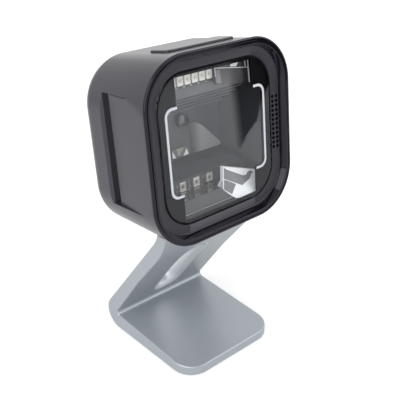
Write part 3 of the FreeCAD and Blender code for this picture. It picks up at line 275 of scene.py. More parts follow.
finishLooks = {
    "standPaint": dict(colour=(0.35, 0.38, 0.41), roughness=0.38, metallic=0.45, variation=0.05, grainScale=4000.0,
        bump=0.004),
    # paler copy of the stand paint for the slot's faces: painted light
    "slotPaint": dict(colour=(0.60, 0.63, 0.66), roughness=0.36, metallic=0.3, variation=0.05, grainScale=4000.0,
        bump=0.004),
    "zincPlate": dict(colour=(0.5, 0.51, 0.52), metallic=1.0, variation=0.3, patchScale=160.0),
    "darkScrew": dict(colour=(0.12, 0.12, 0.125), roughness=0.35, metallic=1.0),
    "padRubber": dict(colour=(0.02, 0.02, 0.02), roughness=0.8, grainScale=1200.0, bump=0.1),
    "pinSteel": dict(colour=(0.6, 0.6, 0.62), roughness=0.25, metallic=1.0),
    "innerBlack": dict(colour=(0.02, 0.02, 0.022), roughness=0.5),
    "washerNylon": dict(colour=(0.7, 0.67, 0.6), roughness=0.5),
    "shellSatin": dict(colour=(0.018, 0.0172, 0.0235), roughness=0.42, variation=0.06, grainScale=5000.0,
        bump=0.006, coat=0.45, coatRoughness=0.16, dust=0.02, tint=(0.92, 0.88, 1.0)),
    # near-black gloss for the grip grooves and the hook above them: painted shade
    "grooveGloss": dict(colour=(0.004, 0.004, 0.006), roughness=0.12, ior=1.3, bump=0.0),
    "bezelGloss": dict(colour=(0.004, 0.0038, 0.007), roughness=0.10, variation=0.0, bump=0.0, smudge=0.03, ior=1.4,
        tint=(0.9, 0.87, 1.0)),
    "dishSatin": dict(colour=(0.013, 0.0125, 0.0165), roughness=0.22, variation=0.0, bump=0.0, smudge=0.03,
        tint=(0.9, 0.87, 1.0)),
    "meshDark": dict(colour=(0.002, 0.002, 0.003), roughness=0.8, ior=1.1),
    "maskPrint": dict(colour=(0.004, 0.004, 0.005), roughness=0.6, bump=0.0, ior=1.1),
    "markPrint": dict(colour=(0.60, 0.62, 0.67), bump=0.0),
    "gasketFoam": dict(colour=(0.02, 0.02, 0.02), roughness=0.9),
    "funnelBlack": dict(colour=(0.036, 0.037, 0.042), roughness=0.22, bump=0.002, smudge=0.04),
    # paler copy of the funnel black for its ceiling steps: painted light
    "funnelPale": dict(colour=(0.085, 0.087, 0.094), roughness=0.3, bump=0.002, smudge=0.04),
    "liningShadow": dict(colour=(0.004, 0.004, 0.005), roughness=0.5, ior=1.1, bump=0.0),
    # painted shade for the funnel's floor band and lower right wall
    "liningDark": dict(colour=(0.008, 0.008, 0.009), roughness=0.3, ior=1.2, bump=0.0),
    "liningMirror": dict(colour=(0.012, 0.012, 0.012), roughness=0.05, bump=0.0),
    "liningPanel": dict(colour=(0.045, 0.045, 0.047), roughness=0.35, bump=0.002),
    # painted highlight for the lower panel's top edge
    "liningEdge": dict(colour=(0.6, 0.6, 0.6), roughness=0.3, metallic=0.5, bump=0.0),
    "lampBoard": dict(colour=(0.035, 0.04, 0.034), variation=0.6, patchScale=700.0),
    "lampCeramic": dict(colour=(0.84, 0.83, 0.80)),
    "lampCeramicAged": dict(colour=(0.56, 0.55, 0.50), variation=0.3, patchScale=900.0),
    # painted highlight for the upper reflector's edge lines
    "edgePale": dict(colour=(0.9, 0.91, 0.93), roughness=0.35, bump=0.0),
    "lampPhosphor": dict(colour=(0.74, 0.72, 0.62), roughness=0.35, coat=0.6),
    "lampPhosphorGrey": dict(colour=(0.36, 0.36, 0.30), roughness=0.35, coat=0.6),
    "lampDie": dict(colour=(0.30, 0.29, 0.25), roughness=0.25),
    "lampDieDark": dict(colour=(0.10, 0.10, 0.09), roughness=0.25),
    "lampTin": dict(colour=(0.75, 0.75, 0.74), roughness=0.3, metallic=1.0),
    # painted reflections standing for the chrome of the reflectors: dark and pale for the upper one, white, grey, dim
    # and soft for the lower one
    "smokeFilm": dict(colour=(0.035, 0.035, 0.038), roughness=0.3, bump=0.0, patchScale=120.0, variation=0.5),
    "smokePale": dict(colour=(0.16, 0.165, 0.175), roughness=0.3, bump=0.0),
    "plateWhite": dict(colour=(0.86, 0.89, 0.92), roughness=0.3, bump=0.0, variation=0.04),
    "plateGrey": dict(colour=(0.125, 0.127, 0.14), roughness=0.3, bump=0.0),
    "plateDim": dict(colour=(0.11, 0.112, 0.125), roughness=0.3, bump=0.0),
    "plateSoft": dict(colour=(0.28, 0.275, 0.29), roughness=0.3, bump=0.0),
    "aimerGlass": dict(colour=(0.05, 0.052, 0.055), roughness=0.08, coat=0.5, bump=0.0),
    "aimerWhite": dict(colour=(0.85, 0.86, 0.87)),
    "aimerBeige": dict(colour=(0.32, 0.33, 0.28), roughness=0.5),
    "barrelBlack": dict(colour=(0.02, 0.02, 0.022), roughness=0.3, metallic=0.6),
    "lensGlass": dict(colour=(0.02, 0.02, 0.05), roughness=0.03, coat=1.0, bump=0.0),
    "sensorDie": dict(colour=(0.04, 0.06, 0.1), roughness=0.1),
    "boardGreen": dict(colour=(0.02, 0.09, 0.04), roughness=0.35, variation=0.6, patchScale=600.0),
    "connectorIvory": dict(colour=(0.7, 0.65, 0.52), roughness=0.45),
    "chipEpoxy": dict(colour=(0.02, 0.02, 0.022), roughness=0.55),
    "coneFilm": dict(colour=(0.08, 0.08, 0.08), roughness=0.5),
    "magnetNickel": dict(colour=(0.5, 0.5, 0.5), roughness=0.3, metallic=1.0),
    "contactGold": dict(colour=(0.83, 0.6, 0.2), roughness=0.25, metallic=1.0),
    "switchBlack": dict(colour=(0.03, 0.03, 0.03), roughness=0.5),
    "plungerGrey": dict(colour=(0.3, 0.3, 0.31), roughness=0.5),
}
finishes = {name: makeFinish(name, **look) for name, look in finishLooks.items()}
# a pool of light on the funnel's back wall, painted as a fade from dark to pale
finishes["liningGlow"] = makePaintedLightFade("liningGlow", (0.026, 0.026, 0.029), (0.30, 0.30, 0.31), 0.005, 0.0135)
finishes["paneClear"] = makePane("paneClear", 0.042, 0.95)

# solids that are shown as they are or refined; the others are drawn anew below
finishNodes = {
    "standPaint": ["stand_body"],
    "zincPlate": ["ballast_plate"],
    "padRubber": ["base_pad"],
    "pinSteel": ["tilt_pin"],
    "innerBlack": ["pin_retainer", "hinge_cradle", "lens_holder", "speaker_frame", "cable_socket"],
    "washerNylon": ["friction_washers"],
    "shellSatin": ["rear_housing", "top_button"],
    "meshDark": ["speaker_mesh"],
    "paneClear": ["window"],
    "maskPrint": ["window_mask"],
    "markPrint": ["target_mark_left", "target_mark_right"],
    "gasketFoam": ["window_gasket"],
    "funnelBlack": ["optical_chassis"],
    "lampBoard": ["lower_led_board"],
    "barrelBlack": ["lens_barrel"],
    "lensGlass": ["camera_lens"],
    "sensorDie": ["image_sensor"],
    "boardGreen": ["camera_board", "main_board", "button_board"],
    "connectorIvory": ["camera_connector"],
    "chipEpoxy": ["board_chips"],
    "coneFilm": ["speaker_cone"],
    "magnetNickel": ["speaker_magnet"],
    "contactGold": ["socket_contacts"],
    "switchBlack": ["button_switches"],
    "plungerGrey": ["switch_plungers"],
}
for finish, names in finishNodes.items():
    for name in names:
        nodes[name].data.materials.clear()
        nodes[name].data.materials.append(finishes[finish])
print("finishes made")


def newShapeTree(name, floats, materials, wholes=()):
    return newTree(name, "GeometryNodeTree", {
        "Geometry": ["Geometry"], "Int": wholes, "Float": floats, "Material": materials}, {"Geometry": ["Geometry"]})


def joined(tree, *parts):
    join = addNode(tree, "GeometryNodeJoinGeometry")
    for part in parts:
        feed(part, join.inputs[0])
    return join.outputs[0]


def packed(tree, x, y, z):
    return made(tree, "ShaderNodeCombineXYZ", x, y, z)


def attribute(tree, label, kind="FLOAT"):
    return fill(addNode(tree, "GeometryNodeInputNamedAttribute", data_type=kind), Name=label).outputs["Attribute"]


def marked(tree, shape, number):
    # gives every face of a shape the number of its finish
    return fill(addNode(tree, "GeometryNodeStoreNamedAttribute", data_type="INT", domain="FACE"),
                Geometry=shape, Name="finishNumber", Value=number).outputs[0]


def moved(tree, shape, place, turn=(0, 0, 0)):
    return made(tree, "GeometryNodeTransform", Geometry=shape, Translation=place, Rotation=turn)


def cylinder(tree, sides, radius, depth):
    return made(tree, "GeometryNodeMeshCylinder", Vertices=sides, Radius=radius, Depth=depth)


def cube(tree, width, depth, height):
    return made(tree, "GeometryNodeMeshCube", Size=packed(tree, width, depth, height))


def cutAway(tree, shape, *tools):
    cut = fill(addNode(tree, "GeometryNodeMeshBoolean", operation="DIFFERENCE"), Mesh_1=shape)
    for tool in tools:
        feed(tool, cut.inputs["Mesh 2"])
    return cut.outputs["Mesh"]


def spread(tree, points, shape):
    return fill(addNode(tree, "GeometryNodeInstanceOnPoints"), Points=points, Instance=shape)


def realised(tree, shape):
    return made(tree, "GeometryNodeRealizeInstances", shape)


def finished(tree, shape, source, labels, result, sharpAngle=35.0):
    # Realize Instances, crisp edges, then one Set Material for each finish
    angle = made(tree, "GeometryNodeInputMeshEdgeAngle")
    crisp = calculate("LESS_THAN", angle, math.radians(sharpAngle))
    last = made(tree, "GeometryNodeSetShadeSmooth", realised(tree, shape), settings={"domain": "FACE"})
    last = made(tree, "GeometryNodeSetShadeSmooth", last, Shade_Smooth=crisp, settings={"domain": "EDGE"})
    for number, label in enumerate(labels):
        coat = fill(addNode(tree, "GeometryNodeSetMaterial"), Geometry=last, Material=source[label])
        if number:
            which = addNode(tree, "FunctionNodeCompare", data_type="INT", operation="EQUAL")
            feed(attribute(tree, "finishNumber", "INT"), which.inputs[2])
            feed(number, which.inputs[3])
            feed(which.outputs[0], coat.inputs["Selection"])
        last = coat.outputs[0]
    feed(last, result[0])
    return tree


def growPiece(name, seed, tree, look, place=None):
    # runs a tree on its seed; look holds the tree's inputs, such as holeRadius for Hole Radius
    piece = addObject(name, seed)
    grow = piece.modifiers.new("grow", "NODES")
    grow.node_group = tree
    for item in tree.interface.items_tree:
        key = item.name[0].lower() + item.name[1:].replace(" ", "")
        if item.in_out == "INPUT" and key in look:
            grow[item.identifier] = finishes[look[key]] if isinstance(look[key], str) else look[key]
    bpy.context.view_layer.update()
    grown = bpy.data.meshes.new_from_object(piece.evaluated_get(bpy.context.evaluated_depsgraph_get()))
    piece.modifiers.remove(grow)
    if place is not None:
        grown.transform(place)
    grown.name = name
    piece.data = grown
    return piece


def settle(piece, body, *replaced, like=None):
    # hands a piece to its body and hides the solids it stands for; like is not used
    if replaced:
        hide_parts(*replaced)
    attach(piece, body)


def seedPoints(points, **fields):
    mesh = bpy.data.meshes.new("seedPoints")
    mesh.from_pydata([tuple(point) for point in points], [], [])
    for label, values in fields.items():
        vector = hasattr(values[0], "__len__")
        field = mesh.attributes.new(label, "FLOAT_VECTOR" if vector else "FLOAT", "POINT")
        field.data.foreach_set("vector" if vector else "value",
                               [part for value in values for part in (value if vector else (value,))])
    return mesh


sharpEdge = math.radians(32.0)
mergeGap, sliverGap = 0.002 * mm, 0.001 * mm
weldGap = 1e-5


def smoothFaces(work):
    for face in work.faces:
        face.smooth = True
    for edge in work.edges:
        edge.smooth = len(edge.link_faces) == 2 and edge.calc_face_angle(0) < sharpEdge


def makePiece(name, points, faces, finishNames, faceFinish=None):
    mesh = bpy.data.meshes.new(name)
    mesh.from_pydata([tuple(point) for point in points], [], faces)
    for finish in finishNames:
        mesh.materials.append(finishes[finish])
    for face, number in zip(mesh.polygons, faceFinish or []):
        face.material_index = number
    work = bmesh.new()
    work.from_mesh(mesh)
    bmesh.ops.remove_doubles(work, verts=work.verts, dist=weldGap)
    bmesh.ops.recalc_face_normals(work, faces=work.faces)
    smoothFaces(work)
    work.to_mesh(mesh)
    work.free()
    mesh.transform(headPlace)
    return addObject(name, mesh)


def makeSlabs(name, slabs, finishNames):
    # closed plates, each from its front corners, its back corners and the name of its finish
    points, faces, marks = [], [], []
    for front, back, finish in slabs:
        start, count = len(points), len(front)
        points += [*front, *back]
        faces.append(list(range(start, start + count)))
        faces.append(list(range(start + 2 * count - 1, start + count - 1, -1)))
        for i in range(count):
            j = (i + 1) % count
            faces.append([start + i, start + count + i, start + count + j, start + j])
        marks += [finishNames.index(finish)] * (count + 2)
    return makePiece(name, points, faces, finishNames, marks)


def slab(outline, front, thickness, finish):
    # a plate that faces the window, with its front at a plain depth or at a depth that changes with height
    depth = front if callable(front) else lambda z: front
    return ([(x, depth(z), z) for x, z in outline], [(x, depth(z) + thickness, z) for x, z in outline], finish)


def refine(name, node, extra=None, frameOf=None, pick=None, shift=None):
    # a merged copy of a solid, with even normals over its rounded edges;
    # pick says which faces, by their corners and normal in the frame given, take the extra finish
    mesh = nodes[node].data.copy()
    piece = addObject(name, mesh)
    work = bmesh.new()
    work.from_mesh(mesh)
    bmesh.ops.remove_doubles(work, verts=work.verts, dist=mergeGap)
    bmesh.ops.dissolve_degenerate(work, edges=work.edges, dist=sliverGap)
    smoothFaces(work)
    if pick:
        mesh.materials.append(finishes[extra])
        turn = frameOf.to_3x3().normalized()
        for face in work.faces:
            face.material_index = int(pick([frameOf @ vert.co for vert in face.verts], turn @ face.normal))
    work.to_mesh(mesh)
    work.free()
    if shift is not None:
        mesh.transform(shift)
    weighted = piece.modifiers.new("evenNormals", "WEIGHTED_NORMAL")
    weighted.keep_sharp = True
    weighted.weight = 100
    return piece


def islands(node):
    # the separate solids of a node, as lists of points, in the same order each run
    work = bmesh.new()
    work.from_mesh(nodes[node].data)
    bmesh.ops.remove_doubles(work, verts=work.verts, dist=mergeGap)
    seen, found = set(), []
    for first in work.verts:
        if first in seen:
            continue
        seen.add(first)
        stack, group = [first], []
        while stack:
            vert = stack.pop()
            group.append(vert.co.copy())
            for edge in vert.link_edges:
                other = edge.other_vert(vert)
                if other not in seen:
                    seen.add(other)
                    stack.append(other)
        found.append(group)
    work.free()
    return sorted(found, key=lambda group: tuple(round(value, 3) for value in group[0]))


slotRegion = {"halfWidth": 10.9, "low": 15.0, "high": 64.0, "straightTop": 36.0, "armNormal": (0, 0.809, 0.588)}
ceilingRegion = {"low": 10.0, "front": 6.0, "back": 34.0, "halfWidth": 34.0}


def inSlot(corners, normal):
    for corner in corners:
        if abs(corner.x) > slotRegion["halfWidth"] or not slotRegion["low"] < corner.z < slotRegion["high"]:
            return False
    straight = max(corner.z for corner in corners) < slotRegion["straightTop"]
    return abs(normal.x) > 0.08 or (straight and abs(normal.dot(Vector(slotRegion["armNormal"]))) < 0.95)


def onCeiling(corners, normal):
    return abs(normal.x) < 0.5 and all(
        corner.z > ceilingRegion["low"] and ceilingRegion["front"] < corner.y < ceilingRegion["back"]
        and abs(corner.x) < ceilingRegion["halfWidth"] for corner in corners)


# the cable slot's faces take a paler copy of the stand paint: painted light on the slot's inner wall
settle(refine("standCasting", "stand_body", "slotPaint", standPlace.inverted(), inSlot), "stand", "stand_body")
settle(refine("shellHousing", "rear_housing"), "head", "rear_housing")
# the funnel's ceiling faces take the paler copy of its black: painted light
settle(refine("opticsFunnel", "optical_chassis", "funnelPale", toHead, onCeiling), "head", "optical_chassis")
settle(refine("pressBar", "top_button"), "button", "top_button")
settle(refine("hingeCradle", "hinge_cradle"), "head", "hinge_cradle")
print("castings and shells refined")

# painted shade: a gloss black lining darkens the groove behind each grip recess, its floor and most of its run-out,
# with a short hook along the top of the recess as a painted contact shadow
gripLining = {
    "section": [(31.85, 42.65), (34.42, 42.65), (36.1, 44.89), (36.1, 44.4), (34.55, 42.2), (31.85, 42.2)],
    "low": -27.35, "high": 29.35,
    "hookFront": 17.0, "hookRear": 30.9, "hookLow": 28.7, "hookSink": 0.3, "hookLift": 0.04,
    "recessFront": (3.0, 47.0), "recessRear": (31.0, 44.2),
}


def makeGripPaintedShade(look):
    (frontDepth, frontX), (rearDepth, rearX) = look["recessFront"], look["recessRear"]
    slope = (rearX - frontX) / (rearDepth - frontDepth)
    ends = [(depth, frontX + slope * (depth - frontDepth)) for depth in (look["hookFront"], look["hookRear"])]
    hook = [(depth, x + look["hookLift"]) for depth, x in ends]
    hook += [(depth, x - look["hookSink"]) for depth, x in reversed(ends)]
    slabs = []
    for side in (-1, 1):
        for section, low in ((look["section"], look["low"]), (hook, look["hookLow"])):
            bottom, top = ([(side * x, depth, z) for depth, x in section] for z in (low, look["high"]))
            slabs.append((bottom, top, "grooveGloss"))
    settle(makeSlabs("gripLining", slabs, ["grooveGloss"]), "head")


makeGripPaintedShade(gripLining)
print("grip linings placed")

bezel = {
    "half": 47.5, "cornerRadius": 25.0, "seamDepth": 1.2, "lipRadius": 0.7, "lipWidth": 3.4,
    "grooveInset": 1.3, "grooveWidth": 0.6, "grooveDepth": 0.5, "dishInset": 4.9, "dishDepth": 4.0,
    "bandInset": 9.6, "bandDepth": 4.6, "tongueInset": 3.4, "tongueEnd": 8.6, "tongueInner": 4.3,
    "openingX": 37.65, "openingZ": 38.15, "openingRadius": 17.15, "ledgeFront": 6.0, "ledgeBack": 7.4,
    "ledgeX": 34.95, "ledgeZ": 37.25, "ledgeRadius": 14.0, "cornerSteps": 24,
    "dishFront": 3.7, "dishBack": 4.72, "holeRadius": 0.88, "holePitch": 2.5, "holeRows": 12, "holeInner": 39.1,
    "holeSpacing": 2.6, "finish": "bezelGloss", "dishFinish": "dishSatin",
    "roomFront": 6.1, "roomBorder": 0.15, "roomBeyond": 0.5,
    # how the edges of lip and dish roll over: steps of inset and depth
    "lipRoll": [(-0.28, 0.0), (-0.12, 0.03), (-0.02, 0.10), (0.05, 0.22)],
    "dishRoll": [(-0.12, -0.32), (-0.06, -0.14), (0.04, -0.04), (0.2, 0.02)],
    "bandRound": (0.35, 0.045), "openingRound": (0.12, 0.01, 0.1), "lipSteps": 6,
}


def bezelProfile():
    # rows of the rim from its back round the front to the window ledge: half x, half z, corner radius, depth
    rows = []

    def ring(inset, depth):
        rows.append((bezel["half"] - inset, bezel["half"] - inset, bezel["cornerRadius"] - inset, depth))

    ring(bezel["tongueInset"], bezel["tongueEnd"])
    ring(bezel["tongueInset"], bezel["seamDepth"])
    ring(0, bezel["seamDepth"])
    lip = bezel["lipRadius"]
    for step in range(bezel["lipSteps"] + 1):
        turn = math.pi / 2 * step / bezel["lipSteps"]
        ring(lip * (1 - math.cos(turn)), lip * (1 - math.sin(turn)))
    near, far = bezel["grooveInset"], bezel["grooveInset"] + bezel["grooveWidth"]
    for inset, depth in ((near, 0), (near, bezel["grooveDepth"]), (far, bezel["grooveDepth"]), (far, 0)):
        ring(inset, depth)
    for inset, depth in bezel["lipRoll"]:
        ring(bezel["lipWidth"] + inset, depth)
    for inset, depth in bezel["dishRoll"]:
        ring(bezel["dishInset"] + inset, bezel["dishDepth"] + depth)
    roundInset, roundDepth = bezel["bandRound"]
    ring(bezel["bandInset"] - roundInset, bezel["bandDepth"] - roundDepth)
    opening = (bezel["openingX"], bezel["openingZ"], bezel["openingRadius"])
    grow, before, after = bezel["openingRound"]
    rows.append((*(value + grow for value in opening), bezel["bandDepth"] - before))
    rows.append((*opening, bezel["bandDepth"] + after))
    rows.append((*opening, bezel["ledgeFront"]))
    ledge = (bezel["ledgeX"], bezel["ledgeZ"], bezel["ledgeRadius"])
    rows.append((*ledge, bezel["ledgeFront"]))
    rows.append((*ledge, bezel["ledgeBack"]))
    ring(bezel["tongueInner"], bezel["ledgeBack"])
    ring(bezel["tongueInner"], bezel["tongueEnd"])
    return rows


drillLook = {"sides": 20, "length": 12.0, "depth": 2.0, "weld": 0.0005}
lying = (math.pi / 2, 0, 0)


def makeRimTree():
    # a grid rolled round a rounded rectangle, one grid row for each row of the profile, then drilled
    tree, source, result = newShapeTree(
        "rimLoft", ["Hole Radius", "Hole Pitch", "Hole Inner", "Hole Spacing", "Room Front", "Room Back",
                    "Room Border", "Dish Front", "Dish Back"],
        ["Finish", "Dish Finish"], ["Row Count", "Corner Steps", "Hole Rows"])
    steps, rowCount = source["Corner Steps"], source["Row Count"]
    around = timesPlus(steps, 4.0, 1.0)
    grid = fill(addNode(tree, "GeometryNodeMeshGrid"), Size_X=1.0, Size_Y=1.0, Vertices_X=plus(rowCount, 1.0),
                Vertices_Y=around)
    index = made(tree, "GeometryNodeInputIndex")
    rowIndex = calculate("FLOOR", over(plus(index, 0.5), around))
    column = minus(index, times(rowIndex, around))
    row = calculate("MODULO", rowIndex, rowCount)
    corner = calculate("FLOOR", over(plus(column, 0.5), steps))
    share = over(minus(column, times(corner, steps)), minus(steps, 1.0))
    turn = times(plus(corner, share), math.pi / 2)
    middle = timesPlus(corner, math.pi / 2, math.pi / 4)

    def rowValue(label):
        pick = addNode(tree, "GeometryNodeSampleIndex", data_type="FLOAT", domain="POINT")
        return fill(pick, Geometry=source["Geometry"], Value=attribute(tree, label), Index=row).outputs[0]

    radius = rowValue("cornerRadius")

    def coordinate(halfLabel, wave):
        side = calculate("SIGN", calculate(wave, middle))
        return timesPlus(minus(rowValue(halfLabel), radius), side, times(radius, calculate(wave, turn)))

    rolled = fill(addNode(tree, "GeometryNodeSetPosition"), Geometry=grid.outputs[0], Position=packed(
        tree, coordinate("halfX", "COSINE"), rowValue("depth"), coordinate("halfZ", "SINE")))
    ring = fill(addNode(tree, "GeometryNodeMergeByDistance"), Geometry=rolled.outputs[0], Distance=drillLook["weld"])

    inner, spacing = source["Hole Inner"], source["Hole Spacing"]
    height = times(minus(source["Hole Rows"], 1.0), source["Hole Pitch"])
    columns = [fill(addNode(tree, "GeometryNodeMeshLine", mode="OFFSET"), Count=source["Hole Rows"],
                    Start_Location=packed(tree, timesPlus(spacing, number, inner), drillLook["depth"],
                                          times(height, -0.5)),
                    Offset=packed(tree, 0, 0, source["Hole Pitch"])).outputs[0] for number in (0.0, 1.0)]
    drill = moved(tree, cylinder(tree, drillLook["sides"], source["Hole Radius"], drillLook["length"]),
                  (0, 0, 0), lying)
    drills = realised(tree, spread(tree, joined(tree, *columns), drill).outputs[0])
    border = plus(source["Hole Radius"], source["Room Border"])
    deep = minus(source["Room Back"], source["Room Front"])
    room = cube(tree, timesPlus(border, 2.0, spacing), deep, timesPlus(border, 2.0, height))
    roomPlace = packed(tree, timesPlus(spacing, 0.5, inner), timesPlus(deep, 0.5, source["Room Front"]), 0.0)
    cut = cutAway(tree, ring.outputs[0], drills, moved(tree, room, roomPlace))

    # faces whose depth lies between the dish limits take the dish finish
    spot = made(tree, "GeometryNodeInputPosition")
    depth = fill(addNode(tree, "ShaderNodeSeparateXYZ"), spot).outputs["Y"]
    inDish = times(calculate("GREATER_THAN", depth, source["Dish Front"]),
                   calculate("LESS_THAN", depth, source["Dish Back"]))
    return finished(tree, marked(tree, cut, inDish), source, ["Finish", "Dish Finish"], result)


def makeBezel():
    rows = bezelProfile()
    halfX, halfZ, cornerRadius, depth = zip(*rows)
    seed = seedPoints([(0, 0, 0)] * len(rows), halfX=halfX, halfZ=halfZ, cornerRadius=cornerRadius, depth=depth)
    ring = growPiece("bezelRing", seed, makeRimTree(), {
        **bezel, "rowCount": len(rows), "roomBack": bezel["tongueEnd"] + bezel["roomBeyond"]})
    work = bmesh.new()
    work.from_mesh(ring.data)
    if sum(face.calc_center_median().y * face.normal.y * face.calc_area() for face in work.faces) < 0:
        bmesh.ops.reverse_faces(work, faces=work.faces)
    work.to_mesh(ring.data)
    work.free()
    ring.data.transform(headPlace)
    settle(ring, "head", "front_bezel")


makeBezel()
print("bezel rolled and drilled")

# a dull black ring laid round the front of the pane, painted shade of the gap between pane and bezel
paneSeal = {"halfX": 37.45, "halfZ": 37.95, "radius": 16.95, "width": 0.75, "front": 4.33, "back": 4.45, "steps": 16}


def makePaneGapShade(look):
    points, faces = [], []
    columns = 4 * (look["steps"] + 1)
    width, front, back = look["width"], look["front"], look["back"]
    for inset, depth in ((0, front), (width, front), (width, back), (0, back)):
        radius = look["radius"] - inset
        for corner in range(4):
            middle = math.pi * (2 * corner + 1) / 4
            centreX = math.copysign(look["halfX"] - look["radius"], math.cos(middle))
            centreZ = math.copysign(look["halfZ"] - look["radius"], math.sin(middle))
            for step in range(look["steps"] + 1):
                turn = math.pi / 2 * (corner + step / look["steps"])
                points.append((centreX + radius * math.cos(turn), depth, centreZ + radius * math.sin(turn)))
    for row in range(4):
        for column in range(columns):
            after, below = (column + 1) % columns, (row + 1) % 4 * columns
            faces.append([row * columns + column, row * columns + after, below + after, below + column])
    settle(makePiece("paneSeal", points, faces, ["liningShadow"]), "head")


makePaneGapShade(paneSeal)
print("pane seal laid")

# the print lies a little inside the pane, so its border keeps only the gloss of the pane's front
printSink = 0.05
printShift = Matrix.Translation(headPlace.to_3x3() @ Vector((0, -printSink, 0)))
settle(refine("borderPrint", "window_mask", shift=printShift), "head", "window_mask")

screwSets = {
    "ballastScrews": {"node": "ballast_screws", "body": "stand", "along": "up"},
    "cradleScrews": {"node": "cradle_screws", "body": "head", "along": "headUp"},
    "housingScrews": {"node": "housing_screws", "body": "head", "along": "headDepth"},
    "chassisScrews": {"node": "chassis_screws", "body": "head", "along": "headDepth"},
    "cameraScrews": {"node": "camera_screws", "body": "head", "along": "headDepth"},
    "boardScrews": {"node": "main_board_screws", "body": "head", "along": "headDepth"},
    "buttonBoardScrews": {"node": "button_board_screws", "body": "head", "along": "headUp"},
}
screwLook = {"taper": 0.84, "sides": 28, "finish": "darkScrew"}
screwDetail = {
    "socketRadiusShare": 0.48, "socketDepthShare": 0.6, "socketSides": 6, "shankSides": 16, "shankStart": 0.9,
    "sharpAngle": 28.0, "endShare": 0.02,
}


def makeScrewTree():
    tree, size, result = newShapeTree(
        "screwTree", ["Head Radius", "Head Height", "Shank Radius", "Length", "Taper", "Socket Radius",
                      "Socket Depth"], ["Finish"], ["Sides"])
    head = fill(addNode(tree, "GeometryNodeMeshCone"), Vertices=size["Sides"], Radius_Bottom=size["Head Radius"],
                Radius_Top=times(size["Head Radius"], size["Taper"]), Depth=size["Head Height"]).outputs[0]
    cap = moved(tree, head, packed(tree, 0, 0, times(size["Head Height"], -1.0)))
    socket = cylinder(tree, screwDetail["socketSides"], size["Socket Radius"], times(size["Socket Depth"], 2.0))
    reach = minus(size["Length"], times(size["Head Height"], screwDetail["shankStart"]))
    shank = cylinder(tree, screwDetail["shankSides"], size["Shank Radius"], reach)
    stem = moved(tree, shank, packed(tree, 0, 0, minus(times(reach, 0.5), size["Length"])))
    screws = spread(tree, size["Geometry"], joined(tree, cutAway(tree, cap, socket), stem))
    align = addNode(tree, "FunctionNodeAlignRotationToVector", axis="Z")
    fill(align, Vector=attribute(tree, "outward", "FLOAT_VECTOR"))
    feed(align.outputs[0], screws.inputs["Rotation"])
    return finished(tree, screws.outputs[0], size, ["Finish"], result, sharpAngle=screwDetail["sharpAngle"])


def measureScrews(node, axis):
    # where each screw's head is, which way it faces, and the sizes they share
    found, sizes = [], None
    for group in islands(node):
        heights = [point.dot(axis) for point in group]
        low, high = min(heights), max(heights)
        middle = sum(group, Vector()) / len(group)
        spine = middle - axis * middle.dot(axis)
        reach = [(point - axis * point.dot(axis) - spine).length for point in group]
        span = (high - low) * screwDetail["endShare"]
        lowReach = max(r for r, h in zip(reach, heights) if h < low + span)
        highReach = max(r for r, h in zip(reach, heights) if h > high - span)
        outward, top = (axis, high) if highReach > lowReach else (-axis, low)
        headRadius, shankRadius = max(reach), min(lowReach, highReach)
        split = (headRadius + shankRadius) / 2
        headHeights = [h for r, h in zip(reach, heights) if r > split]
        found.append((spine + axis * top, outward))
        sizes = sizes or (headRadius, max(headHeights) - min(headHeights), shankRadius, high - low)
    return found, [size / mm for size in sizes]


def makeScrews():
    tree = makeScrewTree()
    turn = headPlace.to_3x3().normalized()
    ways = {"up": Vector((0, 0, 1)), "headUp": turn @ Vector((0, 0, 1)), "headDepth": turn @ Vector((0, 1, 0))}
    for name, settings in screwSets.items():
        found, sizes = measureScrews(settings["node"], ways[settings["along"]])
        headRadius, headHeight, shankRadius, length = sizes
        seed = seedPoints([point / mm for point, _ in found], outward=[tuple(way) for _, way in found])
        piece = growPiece(name, seed, tree, {
            **screwLook, "headRadius": headRadius, "headHeight": headHeight, "shankRadius": shankRadius,
            "length": length, "socketRadius": headRadius * screwDetail["socketRadiusShare"],
            "socketDepth": headHeight * screwDetail["socketDepthShare"]}, standPlace)
        settle(piece, settings["body"], settings["node"])
        print(name, len(found), "screws", *(round(size, 2) for size in sizes))


makeScrews()

upperLamps = {
    "node": "upper_leds", "first": 1.6, "pitch": -4.67, "count": 6, "z": 32.3, "boardFront": 11.6,
    "width": 3.7, "height": 4.9, "thickness": 0.9, "wellRadius": 1.35, "wellDepth": 0.35, "die": 0.6,
    "terminal": 0.55, "body": "lampCeramic", "phosphor": "lampPhosphor", "dieFinish": "lampDie", "tin": "lampTin",
}
# the lower row takes darker finishes than the upper row, its ceramic also patchier
lowerLamps = {
    "node": "lower_leds", "first": 4.65, "pitch": -9.3, "count": 3, "z": -24.3, "boardFront": 20.0,
    "width": 4.0, "height": 4.9, "thickness": 0.9, "wellRadius": 1.45, "wellDepth": 0.35, "die": 1.2,
    "terminal": 0.55, "body": "lampCeramicAged", "phosphor": "lampPhosphorGrey", "dieFinish": "lampDieDark",
    "tin": "lampTin",
}
lampBoardParts = {
    "width": 1.0, "thickness": 0.45, "height": 0.5, "terminal": 0.24, "body": "chipEpoxy", "tin": "lampTin",
    "upper": [(3.9, 30.2, 1), (3.9, 32.4, 1), (-0.7, 28.9, 0), (-5.4, 28.9, 0), (-10.1, 28.9, 0),
              (-14.8, 28.9, 0), (-19.4, 28.9, 0), (-24.1, 28.9, 0)],
    "lower": [(0.0, -23.2, 0), (0.4, -25.6, 1), (-0.9, -26.9, 0), (-9.3, -23.0, 1), (-9.0, -25.2, 0),
              (-9.9, -26.9, 0), (-17.4, -23.4, 1), (-17.6, -26.3, 0), (10.4, -24.6, 1), (14.2, -25.8, 0)],
}
# how thick phosphor and die are, how far a tin cap stands over what it wraps, and the sides of a round part
phosphorDepth, dieDepth, wrapGap, discSides = 0.1, 0.12, 0.03, 24


